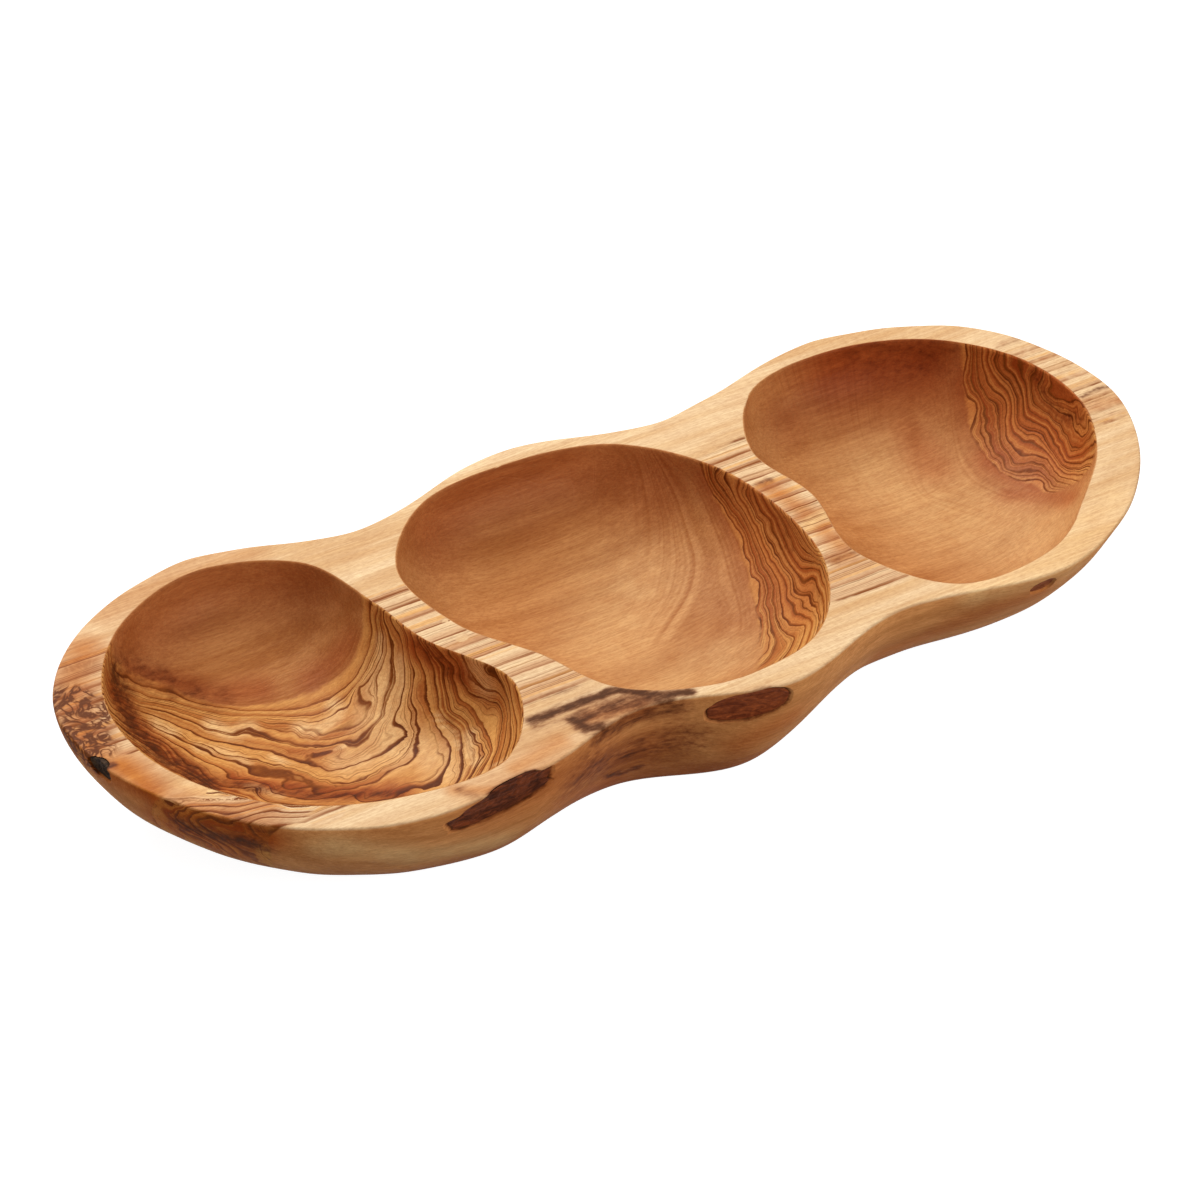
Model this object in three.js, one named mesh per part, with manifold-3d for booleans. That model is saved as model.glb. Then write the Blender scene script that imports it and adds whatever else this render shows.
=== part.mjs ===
// Divided serving dish: three bowls carved in a row out of one block of olive wood.
// Millimetres, +Z up, +X along the row of bowls, +Y towards the back, table top at Z = 0.
// The block is one piece of wood. The bark and the knot that its flanks still hold are separate
// bodies, each seated in its own pocket.

import * as THREE from "three";
import { mergeVertices } from "three/addons/utils/BufferGeometryUtils.js";
import Module from "manifold-3d";

// Driving dimensions

const LEFT_BOWL_LENGTH = 100; // along the row, as for the other two bowls
const MIDDLE_BOWL_LENGTH = 118;
const RIGHT_BOWL_LENGTH = 105;
const BOWL_WIDTH = 130; // front to back, all three bowls
const BOWL_DEPTH = 32; // rim to the lowest point of each bowl
const FLOOR_THICKNESS = 12; // wood left under each bowl
const DIVIDER_WIDTH = 14; // wood between two neighbouring bowls, along the row
const OUTER_EDGE_RADIUS = 1.4; // sanded round, rim to flank
const BOWL_EDGE_RADIUS = 1; // sanded round, rim to bowl
const BOWL_FULLNESS = 2.2; // exponent of the bowl's section: 2 is an ellipse, more is boxier

// Carved by eye, no opening is a true ellipse of that length and width. These are the departures of
// its edge, outwards, every 30 degrees from +X towards the back.
const LEFT_DEPARTURE = [-6, -6.5, 1.5, 2, 3.5, 6.5, 5.5, 1.5, -3, -2, 14, 13.5];
const MIDDLE_DEPARTURE = [2.5, 3, 3.5, 1, 7.5, 8.5, -2, -10.5, -2.5, 2, 7.5, 6];
const RIGHT_DEPARTURE = [2, 4, 1.5, 0.5, 8.5, 7.5, -2, 9.5, 12.5, -2, -10, -4.5];

// The rim and the flank below it, at stations counter-clockwise from the right tip. A lobe station
// lies at an angle from its bowl's centre, and rim is the width of the rim there. A waist station
// lies beside a divider: shift is along the row from the divider's middle, and rim is measured from
// half the bowls' width. At both, tuck is how far the flat base lies inside the rim's outer edge,
// and fullness is the exponent of the flank's section: 1 is straight, 2 is an ellipse.
const RIGHT_TIP = { degrees: 0, rim: 13.5, tuck: 44, fullness: 1.25 };
const RIGHT_BACK_CORNER = { degrees: 45, rim: 11, tuck: 40, fullness: 1.4 };
const RIGHT_BACK = { degrees: 90, rim: 8.5, tuck: 33, fullness: 1.6 };
const RIGHT_WAIST_BACK = { shift: -14.5, rim: -3.5, tuck: 26, fullness: 1.8 };
const MIDDLE_BACK = { degrees: 90, rim: 8, tuck: 24, fullness: 2 };
const LEFT_WAIST_BACK = { shift: 4, rim: -4.5, tuck: 26, fullness: 1.9 };
const LEFT_BACK = { degrees: 90, rim: 7.5, tuck: 32, fullness: 1.7 };
const LEFT_BACK_CORNER = { degrees: 125, rim: 11.5, tuck: 37, fullness: 1.6 };
const LEFT_SHOULDER = { degrees: 155, rim: 16, tuck: 40, fullness: 1.6 };
const LEFT_TIP = { degrees: 180, rim: 14, tuck: 41, fullness: 1.6 };
const LEFT_FRONT_SHOULDER = { degrees: 210, rim: 11, tuck: 40, fullness: 1.6 };
const LEFT_FRONT_CORNER = { degrees: 240, rim: 11, tuck: 37, fullness: 1.5 };
const LEFT_FRONT = { degrees: 270, rim: 12.5, tuck: 33, fullness: 1.4 };
const LEFT_CREST = { degrees: 300, rim: 12, tuck: 26, fullness: 1.6 };
const LEFT_WAIST_FRONT = { shift: 35, rim: 0, tuck: 18, fullness: 1.2 };
const MIDDLE_FRONT = { degrees: 282, rim: 11.5, tuck: 20, fullness: 1.3 };
const RIGHT_WAIST_FRONT = { shift: -4.5, rim: 0.5, tuck: 33, fullness: 1.5 };
const RIGHT_FRONT = { degrees: 270, rim: 11, tuck: 38, fullness: 1.25 };
const RIGHT_FRONT_CORNER = { degrees: 315, rim: 14.5, tuck: 42, fullness: 1.2 };

// Bark and knot. Each lies between the station it names and the next one, this share of the way,
// its middle this drop below the rim, turned by tilt degrees on the flank.
const BARK_CLEARANCE = 0.3; // all round, between a piece of bark and its pocket
const BARK_RECESS = 0.8; // the bark lies this far below the flank around it
const MIDDLE_BARK = { share: 0.73, drop: 7, tilt: 8, length: 26, height: 11, depth: 4 };
const WAIST_BARK = { share: 0.69, drop: 6.5, tilt: 11, length: 42, height: 11, depth: 4 };
const END_BARK = { share: 0.08, drop: 2.5, tilt: 0, length: 12, height: 6, depth: 4 };
const RIGHT_KNOT = { share: 0.81, drop: 5.5, tilt: 0, length: 8, height: 5, depth: 3 };

// Mesh fineness

const SIDES_PER_STATION = 6;
const FLANK_STEPS = 8;
const BOWL_SIDES = 60;
const BOWL_STEPS = 8;
const EDGE_STEPS = 2;
const EGG_SIDES = 20;
const EGG_RINGS = 12;

// Materials

const oliveWood = new THREE.MeshStandardMaterial({ color: 0xc08a50, roughness: 0.5, metalness: 0 });
const bark = new THREE.MeshStandardMaterial({ color: 0x5a2f1a, roughness: 0.8, metalness: 0 });
const knotWood = new THREE.MeshStandardMaterial({ color: 0x7a4526, roughness: 0.6, metalness: 0 });

// Placing the bowls along the row

const RIM_HEIGHT = FLOOR_THICKNESS + BOWL_DEPTH;
const REACH_STEP = 360 / MIDDLE_DEPARTURE.length;
const OPPOSITE = MIDDLE_DEPARTURE.length / 2;
const QUARTER_TURN = Math.PI / 2;

function direction(degrees) {
  const angle = THREE.MathUtils.degToRad(degrees);
  return new THREE.Vector3(Math.cos(angle), Math.sin(angle), 0);
}

// Reach of a bowl's opening from its centre, in each listed direction.
function reaches(length, departures) {
  return departures.map((departure, i) => {
    const outwards = direction(i * REACH_STEP);
    const ellipse = 1 / Math.hypot(outwards.x / (length / 2), outwards.y / (BOWL_WIDTH / 2));
    return ellipse + departure;
  });
}

const leftReach = reaches(LEFT_BOWL_LENGTH, LEFT_DEPARTURE);
const middleReach = reaches(MIDDLE_BOWL_LENGTH, MIDDLE_DEPARTURE);
const rightReach = reaches(RIGHT_BOWL_LENGTH, RIGHT_DEPARTURE);

const middleBowl = { x: 0, reach: middleReach };
const leftBowl = { x: -(middleReach[OPPOSITE] + DIVIDER_WIDTH + leftReach[0]), reach: leftReach };
const rightBowl = { x: middleReach[0] + DIVIDER_WIDTH + rightReach[OPPOSITE], reach: rightReach };
const bowls = [leftBowl, middleBowl, rightBowl];

const leftDividerX = -(middleReach[OPPOSITE] + DIVIDER_WIDTH / 2);
const rightDividerX = middleReach[0] + DIVIDER_WIDTH / 2;

function openingCurve(bowl) {
  const points = bowl.reach.map((reach, i) => direction(i * REACH_STEP).multiplyScalar(reach));
  return new THREE.CatmullRomCurve3(points, true);
}

// Reach of a bowl's opening at any angle, between the listed directions on either side of it.
function reachAt(bowl, degrees) {
  const place = THREE.MathUtils.euclideanModulo(degrees, 360) / REACH_STEP;
  const before = Math.floor(place);
  const after = (before + 1) % bowl.reach.length;
  return THREE.MathUtils.lerp(bowl.reach[before], bowl.reach[after], place - before);
}

// Stations: a point on the rim's outer edge, and the point of the base's edge that the flank meets.

function lobe(bowl, size) {
  const outwards = direction(size.degrees);
  const reach = reachAt(bowl, size.degrees) + size.rim;
  const centre = new THREE.Vector3(bowl.x, 0, 0);
  const rim = centre.clone().addScaledVector(outwards, reach);
  return { size, rim, base: rim.clone().addScaledVector(outwards, -size.tuck) };
}

function waist(dividerX, outwards, size) {
  const middle = new THREE.Vector3(dividerX + size.shift, 0, 0);
  const rim = middle.clone().addScaledVector(outwards, BOWL_WIDTH / 2 + size.rim);
  return { size, rim, base: rim.clone().addScaledVector(outwards, -size.tuck) };
}

const toBack = new THREE.Vector3(0, 1, 0);
const toFront = new THREE.Vector3(0, -1, 0);

const stations = [
  lobe(rightBowl, RIGHT_TIP),
  lobe(rightBowl, RIGHT_BACK_CORNER),
  lobe(rightBowl, RIGHT_BACK),
  waist(rightDividerX, toBack, RIGHT_WAIST_BACK),
  lobe(middleBowl, MIDDLE_BACK),
  waist(leftDividerX, toBack, LEFT_WAIST_BACK),
  lobe(leftBowl, LEFT_BACK),
  lobe(leftBowl, LEFT_BACK_CORNER),
  lobe(leftBowl, LEFT_SHOULDER),
  lobe(leftBowl, LEFT_TIP),
  lobe(leftBowl, LEFT_FRONT_SHOULDER),
  lobe(leftBowl, LEFT_FRONT_CORNER),
  lobe(leftBowl, LEFT_FRONT),
  lobe(leftBowl, LEFT_CREST),
  waist(leftDividerX, toFront, LEFT_WAIST_FRONT),
  lobe(middleBowl, MIDDLE_FRONT),
  waist(rightDividerX, toFront, RIGHT_WAIST_FRONT),
  lobe(rightBowl, RIGHT_FRONT),
  lobe(rightBowl, RIGHT_FRONT_CORNER),
];

const rimCurve = new THREE.CatmullRomCurve3(stations.map((station) => station.rim), true);
const baseCurve = new THREE.CatmullRomCurve3(stations.map((station) => station.base), true);

function fullnessAt(turn) {
  const place = THREE.MathUtils.euclideanModulo(turn, 1) * stations.length;
  const before = Math.floor(place) % stations.length;
  const after = (before + 1) % stations.length;
  const share = THREE.MathUtils.smoothstep(place - Math.floor(place), 0, 1);
  return THREE.MathUtils.lerp(stations[before].size.fullness, stations[after].size.fullness, share);
}

// A point of the flank: turn is 0 to 1 round the block, and angle runs from 0 at the rim to a
// quarter turn at the base, on a superellipse between the two curves.
function flankPoint(turn, angle) {
  const power = 2 / fullnessAt(turn);
  const inward = 1 - Math.cos(angle) ** power;
  const down = Math.sin(angle) ** power;
  const point = rimCurve.getPoint(turn).lerp(baseCurve.getPoint(turn), inward);
  point.z = (RIM_HEIGHT - OUTER_EDGE_RADIUS) * (1 - down);
  return point;
}

// A point of the round along the rim's outer edge, from the flat top (0) to the flank (a quarter turn).
function outerEdgePoint(turn, angle) {
  const edge = rimCurve.getPoint(turn);
  const inwards = baseCurve.getPoint(turn).sub(edge).normalize();
  const point = edge.addScaledVector(inwards, OUTER_EDGE_RADIUS * (1 - Math.sin(angle)));
  point.z = RIM_HEIGHT - OUTER_EDGE_RADIUS * (1 - Math.cos(angle));
  return point;
}

// Closed surface through a stack of rings of equally many points, the first ring lowest and all
// running counter-clockwise seen from above, with a fan to a middle point at either end.
function closedLoft(rings, lowMiddle, highMiddle) {
  const sides = rings[0].length;
  const points = [...rings.flat(), lowMiddle, highMiddle];
  const low = points.length - 2;
  const high = points.length - 1;
  const last = (rings.length - 1) * sides;
  const triangles = [];
  for (let i = 0; i < sides; i++) {
    const next = (i + 1) % sides;
    triangles.push(low, next, i, high, last + i, last + next);
    for (let ring = 0; ring < last; ring += sides) {
      const [a, b, c, d] = [ring + i, ring + next, ring + sides + next, ring + sides + i];
      triangles.push(a, b, c, a, c, d);
    }
  }
  return new THREE.BufferGeometry().setFromPoints(points).setIndex(triangles);
}

// Boolean solids

const wasm = await Module();
wasm.setup();

function solidOf(geometry) {
  const bare = geometry.clone();
  bare.deleteAttribute("normal");
  bare.deleteAttribute("uv");
  const merged = mergeVertices(bare);
  const vertProperties = new Float32Array(merged.attributes.position.array);
  const triVerts = new Uint32Array(merged.index.array);
  return new wasm.Manifold(new wasm.Mesh({ numProp: 3, vertProperties, triVerts }));
}

function geometryOf(solid) {
  const mesh = solid.getMesh();
  const geometry = new THREE.BufferGeometry();
  geometry.setAttribute("position", new THREE.BufferAttribute(mesh.vertProperties, 3));
  geometry.setIndex(new THREE.BufferAttribute(mesh.triVerts, 1));
  geometry.computeVertexNormals();
  return geometry;
}

// The block before the bowls are carved: flat base, curved flank, rounded edge and flat rim.

function blockGeometry() {
  const sides = stations.length * SIDES_PER_STATION;
  const turns = Array.from({ length: sides }, (_, i) => i / sides);
  const rings = [];
  for (let step = FLANK_STEPS; step > 0; step--) {
    rings.push(turns.map((turn) => flankPoint(turn, (QUARTER_TURN * step) / FLANK_STEPS)));
  }
  for (let step = EDGE_STEPS; step >= 0; step--) {
    rings.push(turns.map((turn) => outerEdgePoint(turn, (QUARTER_TURN * step) / EDGE_STEPS)));
  }
  return closedLoft(rings, new THREE.Vector3(0, 0, 0), new THREE.Vector3(0, 0, RIM_HEIGHT));
}

// What a bowl takes out of the block: its round hollow, the sanded edge and the space above it.

function bowlGeometry(bowl) {
  const opening = openingCurve(bowl).getPoints(BOWL_SIDES).slice(0, BOWL_SIDES);
  const ringAt = (share, outwards, z) =>
    opening.map((point) => {
      const scale = share + outwards / point.length();
      return new THREE.Vector3(bowl.x + point.x * scale, point.y * scale, z);
    });
  const power = 2 / BOWL_FULLNESS;
  const wallTop = RIM_HEIGHT - BOWL_EDGE_RADIUS;
  const wallDepth = BOWL_DEPTH - BOWL_EDGE_RADIUS;
  const rings = [];
  for (let step = BOWL_STEPS - 1; step > 0; step--) {
    const angle = (QUARTER_TURN * step) / BOWL_STEPS;
    rings.push(ringAt(Math.cos(angle) ** power, 0, wallTop - wallDepth * Math.sin(angle) ** power));
  }
  for (let step = 0; step <= EDGE_STEPS; step++) {
    const angle = (QUARTER_TURN * step) / EDGE_STEPS;
    const outwards = BOWL_EDGE_RADIUS * (1 - Math.cos(angle));
    rings.push(ringAt(1, outwards, wallTop + BOWL_EDGE_RADIUS * Math.sin(angle)));
  }
  const above = RIM_HEIGHT + BOWL_EDGE_RADIUS;
  rings.push(ringAt(1, BOWL_EDGE_RADIUS, above));
  const bottom = new THREE.Vector3(bowl.x, 0, FLOOR_THICKNESS);
  return closedLoft(rings, bottom, new THREE.Vector3(bowl.x, 0, above));
}

// Axes on the flank at an inclusion's middle: along the rim, up the flank and out of the wood.

function flankFrame(station, { share, drop, tilt }) {
  const turn = (stations.findIndex(({ size }) => size === station) + share) / stations.length;
  const flankDrop = Math.max(drop - OUTER_EDGE_RADIUS, 0) / (RIM_HEIGHT - OUTER_EDGE_RADIUS);
  const angle = Math.asin(flankDrop ** (fullnessAt(turn) / 2));
  const nudge = 0.002;
  const along = flankPoint(turn + nudge, angle).sub(flankPoint(turn - nudge, angle)).normalize();
  const downwards = flankPoint(turn, angle + nudge).sub(flankPoint(turn, angle - nudge)).normalize();
  const outwards = new THREE.Vector3().crossVectors(downwards, along).normalize();
  along.applyAxisAngle(outwards, THREE.MathUtils.degToRad(tilt));
  return { at: flankPoint(turn, angle), along, upwards: outwards.clone().cross(along), outwards };
}

// An egg-shaped body sunk to its middle in the flank, smaller all round by the clearance.
function eggGeometry(frame, { length, height, depth }, clearance) {
  const egg = new THREE.SphereGeometry(1, EGG_SIDES, EGG_RINGS);
  egg.scale(length / 2 - clearance, height / 2 - clearance, depth - clearance);
  const place = new THREE.Matrix4().makeBasis(frame.along, frame.upwards, frame.outwards);
  return egg.applyMatrix4(place.setPosition(frame.at));
}

const inclusions = [
  { name: "middle_bark_patch", station: LEFT_WAIST_FRONT, size: MIDDLE_BARK, material: bark },
  { name: "waist_bark_patch", station: LEFT_FRONT, size: WAIST_BARK, material: bark },
  { name: "left_end_bark_chip", station: LEFT_TIP, size: END_BARK, material: bark },
  { name: "right_pin_knot", station: RIGHT_WAIST_FRONT, size: RIGHT_KNOT, material: knotWood },
];

// Assembly

const block = blockGeometry();
let body = solidOf(block);
for (const bowl of bowls) {
  body = body.subtract(solidOf(bowlGeometry(bowl)));
}

const dish = new THREE.Group();

for (const { name, station, size, material } of inclusions) {
  const frame = flankFrame(station, size);
  body = body.subtract(solidOf(eggGeometry(frame, size, 0)));
  const sunkBlock = block.clone().translate(...frame.outwards.clone().multiplyScalar(-BARK_RECESS));
  const seated = solidOf(eggGeometry(frame, size, BARK_CLEARANCE)).intersect(solidOf(sunkBlock));
  const piece = new THREE.Mesh(geometryOf(seated), material);
  piece.name = name;
  dish.add(piece);
}

const dishBody = new THREE.Mesh(geometryOf(body), oliveWood);
dishBody.name = "dish_body";
dish.add(dishBody);

// The origin is on the table, under the middle of the dish's own box.
const middle = new THREE.Box3().setFromObject(dishBody).getCenter(new THREE.Vector3());
dish.position.set(-middle.x, -middle.y, 0);

export default dish;
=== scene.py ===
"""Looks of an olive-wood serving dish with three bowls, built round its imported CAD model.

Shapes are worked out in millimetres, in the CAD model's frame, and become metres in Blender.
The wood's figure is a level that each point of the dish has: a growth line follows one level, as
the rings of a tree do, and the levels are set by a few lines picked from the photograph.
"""

import math

import bmesh
import bpy
import numpy as np
from mathutils import Matrix, Vector
from mathutils.bvhtree import BVHTree
from mathutils.geometry import delaunay_2d_cdt
from mathutils.kdtree import KDTree


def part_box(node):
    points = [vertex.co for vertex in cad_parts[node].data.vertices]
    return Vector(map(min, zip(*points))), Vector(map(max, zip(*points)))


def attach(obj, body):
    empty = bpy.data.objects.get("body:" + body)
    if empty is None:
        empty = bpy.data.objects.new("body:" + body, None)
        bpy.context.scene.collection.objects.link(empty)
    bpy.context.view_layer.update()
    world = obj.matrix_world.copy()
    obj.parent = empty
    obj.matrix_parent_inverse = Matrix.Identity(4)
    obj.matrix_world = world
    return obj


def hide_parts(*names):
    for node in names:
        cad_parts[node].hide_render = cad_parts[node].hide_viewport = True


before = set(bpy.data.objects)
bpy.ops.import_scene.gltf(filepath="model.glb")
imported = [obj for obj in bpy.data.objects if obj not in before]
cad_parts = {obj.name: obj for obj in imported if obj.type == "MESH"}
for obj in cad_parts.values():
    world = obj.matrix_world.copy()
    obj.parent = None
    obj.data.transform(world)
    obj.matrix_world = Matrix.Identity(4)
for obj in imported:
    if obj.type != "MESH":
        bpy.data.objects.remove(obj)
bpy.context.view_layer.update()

# Sizes of the dish, in millimetres

MM = 0.001
QUARTER_TURN = math.pi / 2
FULL_TURN = 2 * math.pi
FLOOR_THICKNESS = 12
BOWL_DEPTH = 32
RIM_HEIGHT = FLOOR_THICKNESS + BOWL_DEPTH
BOWL_WIDTH = 130
DIVIDER_WIDTH = 14
OUTER_EDGE_RADIUS = 0.9
BOWL_EDGE_RADIUS = 0.8
BOWL_FULLNESS = 2.2
REACH_STEP = 30  # degrees between the directions in which a bowl's opening is given

# Fineness of the visible mesh

COLUMNS_PER_STATION = 46
FLANK_ROWS = 30
OUTER_EDGE_ROWS = 4
BOWL_COLUMNS = 288
BOWL_ROWS = 38
BOWL_EDGE_ROWS = 3
RIM_SPACING = 1.2
BASE_SPACING = 9
EDGE_MARGIN = 0.6  # kept free along the edge of a flat patch, as a share of its spacing
MERGE_DISTANCE = 1e-5
WELD_DISTANCE = 0.01
OUTLINE_STEPS = 400  # per station, where the outline's box is measured
RIPPLE_WAVES = 14
RIPPLE_SPREAD = (0.6, 1.5)  # of the waves' lengths, round the one asked for
SHARP_ANGLE = math.radians(38)


def direction(degrees):
    angle = np.radians(degrees)
    return np.stack([np.cos(angle), np.sin(angle)], axis=-1)


def at_height(plan, height):
    """Points of the plan, all at one height."""
    return np.column_stack([plan, np.full(len(plan), height)])


def smooth_step(share):
    share = np.clip(share, 0, 1)
    return share * share * (3 - 2 * share)


def smooth_loop(corners, places):
    """Closed centripetal Catmull-Rom curve through the corners; a place counts corners."""
    corners = np.asarray(corners, float)
    count = len(corners)
    before = np.floor(places).astype(int)
    share = (places - before)[:, None]
    p0, p1, p2, p3 = (corners[(before + step) % count] for step in (-1, 0, 1, 2))
    gaps = [np.linalg.norm(b - a, axis=1)[:, None] for a, b in ((p0, p1), (p1, p2), (p2, p3))]
    d0, d1, d2 = np.sqrt(gaps)
    leave = ((p1 - p0) / d0 - (p2 - p0) / (d0 + d1) + (p2 - p1) / d1) * d1
    arrive = ((p2 - p1) / d1 - (p3 - p1) / (d1 + d2) + (p3 - p2) / d2) * d1
    square = (-3 * p1 + 3 * p2 - 2 * leave - arrive) * share**2
    cube = (2 * p1 - 2 * p2 + leave + arrive) * share**3
    return p1 + leave * share + square + cube


class Bowl:
    """A carved hollow. Its opening departs from an ellipse, outwards, by so much every 30 degrees."""

    def __init__(self, length, departures):
        self.degrees = REACH_STEP * np.arange(len(departures))
        outwards = direction(self.degrees)
        ellipse = 1 / np.hypot(outwards[:, 0] / (length / 2), outwards[:, 1] / (BOWL_WIDTH / 2))
        self.reach = ellipse + departures
        self.x = 0.0

    def reach_at(self, degrees):
        return np.interp(degrees, np.append(self.degrees, 360), np.append(self.reach, self.reach[0]))

    def opening(self, count):
        corners = direction(self.degrees) * self.reach[:, None]
        return smooth_loop(corners, np.arange(count) * len(corners) / count)


left_bowl = Bowl(100, [-6, -6.5, 1.5, 2, 3.5, 6.5, 5.5, 1.5, -3, -2, 14, 13.5])
middle_bowl = Bowl(118, [2.5, 3, 3.5, 1, 7.5, 8.5, -2, -10.5, -2.5, 2, 7.5, 6])
right_bowl = Bowl(105, [2, 4, 1.5, 0.5, 8.5, 7.5, -2, 9.5, 12.5, -2, -10, -4.5])
bowls = [left_bowl, middle_bowl, right_bowl]

OPPOSITE = len(middle_bowl.reach) // 2
left_divider = -(middle_bowl.reach[OPPOSITE] + DIVIDER_WIDTH / 2)
right_divider = middle_bowl.reach[0] + DIVIDER_WIDTH / 2
left_bowl.x = left_divider - DIVIDER_WIDTH / 2 - left_bowl.reach[0]
right_bowl.x = right_divider + DIVIDER_WIDTH / 2 + right_bowl.reach[OPPOSITE]


def lobe(bowl, degrees, rim, tuck, fullness):
    """A station of the outline beside a bowl: rim point, base point and fullness of the flank."""
    outwards = direction(degrees)
    rim_point = np.array([bowl.x, 0]) + outwards * (bowl.reach_at(degrees) + rim)
    return rim_point, rim_point - outwards * tuck, fullness


def waist(divider, side, shift, rim, tuck, fullness):
    """A station beside a divider, on the back (side 1) or the front (side -1)."""
    rim_point = np.array([divider + shift, side * (BOWL_WIDTH / 2 + rim)])
    return rim_point, rim_point - np.array([0, side * tuck]), fullness


stations = {
    "right tip": lobe(right_bowl, 0, 13.5, 44, 1.25),
    "right back corner": lobe(right_bowl, 45, 11, 40, 1.4),
    "right back": lobe(right_bowl, 90, 8.5, 33, 1.6),
    "right waist back": waist(right_divider, 1, -14.5, -3.5, 26, 1.8),
    "middle back": lobe(middle_bowl, 90, 8, 24, 2),
    "left waist back": waist(left_divider, 1, 4, -4.5, 26, 1.9),
    "left back": lobe(left_bowl, 90, 7.5, 32, 1.7),
    "left back corner": lobe(left_bowl, 125, 11.5, 37, 1.6),
    "left shoulder": lobe(left_bowl, 155, 16, 40, 1.6),
    "left tip": lobe(left_bowl, 180, 14, 41, 1.6),
    "left front shoulder": lobe(left_bowl, 210, 11, 40, 1.6),
    "left front corner": lobe(left_bowl, 240, 11, 37, 1.5),
    "left front": lobe(left_bowl, 270, 12.5, 33, 1.4),
    "left crest": lobe(left_bowl, 300, 12, 26, 1.6),
    "left waist front": waist(left_divider, -1, 35, 0, 18, 1.2),
    "middle front": lobe(middle_bowl, 282, 11.5, 20, 1.3),
    "right waist front": waist(right_divider, -1, -4.5, 0.5, 33, 1.5),
    "right front": lobe(right_bowl, 270, 11, 38, 1.25),
    "right front corner": lobe(right_bowl, 315, 14.5, 42, 1.2),
}
station_names = list(stations)
rim_corners = [station[0] for station in stations.values()]
base_corners = [station[1] for station in stations.values()]
station_fullness = np.array([station[2] for station in stations.values()])


def fullness_at(places):
    before = np.floor(places).astype(int)
    first = station_fullness[before % len(station_fullness)]
    second = station_fullness[(before + 1) % len(station_fullness)]
    return first + (second - first) * smooth_step(places - before)


def flank(places, angle):
    """Points of the flank, from the rim (angle 0) to the base (a quarter turn), on a superellipse."""
    power = 2 / fullness_at(places)
    inward = 1 - np.clip(np.cos(angle), 0, 1) ** power
    down = np.sin(angle) ** power
    rim = smooth_loop(rim_corners, places)
    base = smooth_loop(base_corners, places)
    plan = rim + (base - rim) * inward[:, None]
    height = (RIM_HEIGHT - OUTER_EDGE_RADIUS) * (1 - down)
    return np.column_stack([plan, height])


def outer_edge(places, angle):
    """Points of the sanded round between the flat rim (angle 0) and the flank (a quarter turn)."""
    rim = smooth_loop(rim_corners, places)
    inwards = smooth_loop(base_corners, places) - rim
    inwards /= np.linalg.norm(inwards, axis=1)[:, None]
    plan = rim + inwards * OUTER_EDGE_RADIUS * (1 - math.sin(angle))
    return at_height(plan, RIM_HEIGHT - OUTER_EDGE_RADIUS * (1 - math.cos(angle)))


def bowl_ring(bowl, opening, share, outwards, height):
    scale = share + outwards / np.linalg.norm(opening, axis=1)
    return at_height(np.array([bowl.x, 0]) + opening * scale[:, None], height)


def strip(rings):
    """Quads between closed rings of equally many points."""
    count = len(rings[0])
    here = np.arange(count)
    after = (here + 1) % count
    faces = []
    for row in range(len(rings) - 1):
        low = row * count
        high = low + count
        faces += np.stack([low + here, low + after, high + after, high + here], axis=1).tolist()
    return np.concatenate(rings), faces


def inside(points, loop):
    """Which points of the plan lie within a closed loop, by counting crossings."""
    found = np.zeros(len(points), bool)
    for (ax, ay), (bx, by) in zip(loop, np.roll(loop, -1, axis=0)):
        if ay == by:
            continue
        crosses = (ay > points[:, 1]) != (by > points[:, 1])
        found ^= crosses & (points[:, 0] < ax + (points[:, 1] - ay) / (by - ay) * (bx - ax))
    return found


def tree_of(points):
    tree = KDTree(len(points))
    for index, point in enumerate(points):
        tree.insert(point, index)
    tree.balance()
    return tree


def distances(points, at):
    """How far each place is from the nearest of the points."""
    tree = tree_of(points)
    return np.array([tree.find(place)[2] for place in at])


def flat_patch(outer, holes, spacing, height):
    """Triangles of a level surface inside the outer loop and outside the holes, evenly spaced."""
    low = outer.min(axis=0)
    high = outer.max(axis=0)
    columns = np.arange(low[0], high[0], spacing)
    rows = np.arange(low[1], high[1], spacing * math.sin(math.radians(60)))
    shift = np.where(np.arange(len(rows)) % 2, spacing / 2, 0)
    grid = np.stack(np.meshgrid(columns, rows), axis=-1)
    grid[..., 0] += shift[:, None]
    grid = grid.reshape(-1, 2)

    def clear(points):
        found = inside(points, outer)
        for hole in holes:
            found &= ~inside(points, hole)
        return found

    loops = [outer, *holes]
    apart = distances(at_height(np.concatenate(loops), 0), at_height(grid, 0))
    points = np.concatenate([*loops, grid[(apart > spacing * EDGE_MARGIN) & clear(grid)]])
    edges = []
    first = 0
    for loop in loops:
        count = len(loop)
        edges += [(first + i, first + (i + 1) % count) for i in range(count)]
        first += count
    made = delaunay_2d_cdt([Vector(point) for point in points], edges, [], 0, MERGE_DISTANCE)
    corners = np.array([tuple(point) for point in made[0]])
    triangles = np.array(made[2])
    kept = clear(corners[triangles].mean(axis=1))
    return at_height(corners, height), triangles[kept].tolist()


def ripple(points, wavelength, seed):
    """Smooth irregularity of about that wavelength, from -1 to 1, the same at each run."""
    chance = np.random.default_rng(seed)
    waves = chance.normal(size=(RIPPLE_WAVES, 3))
    waves /= np.linalg.norm(waves, axis=1)[:, None]
    waves *= (FULL_TURN / wavelength) * chance.uniform(*RIPPLE_SPREAD, size=(RIPPLE_WAVES, 1))
    phases = chance.uniform(0, FULL_TURN, size=RIPPLE_WAVES)
    return np.sin(points @ waves.T + phases).mean(axis=1) * 2


def vectors(items, kind):
    """Places or normals of a mesh's vertices or faces."""
    flat = np.empty(len(items) * 3, np.float32)
    items.foreach_get(kind, flat)
    return flat.reshape(-1, 3).astype(float)


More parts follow.
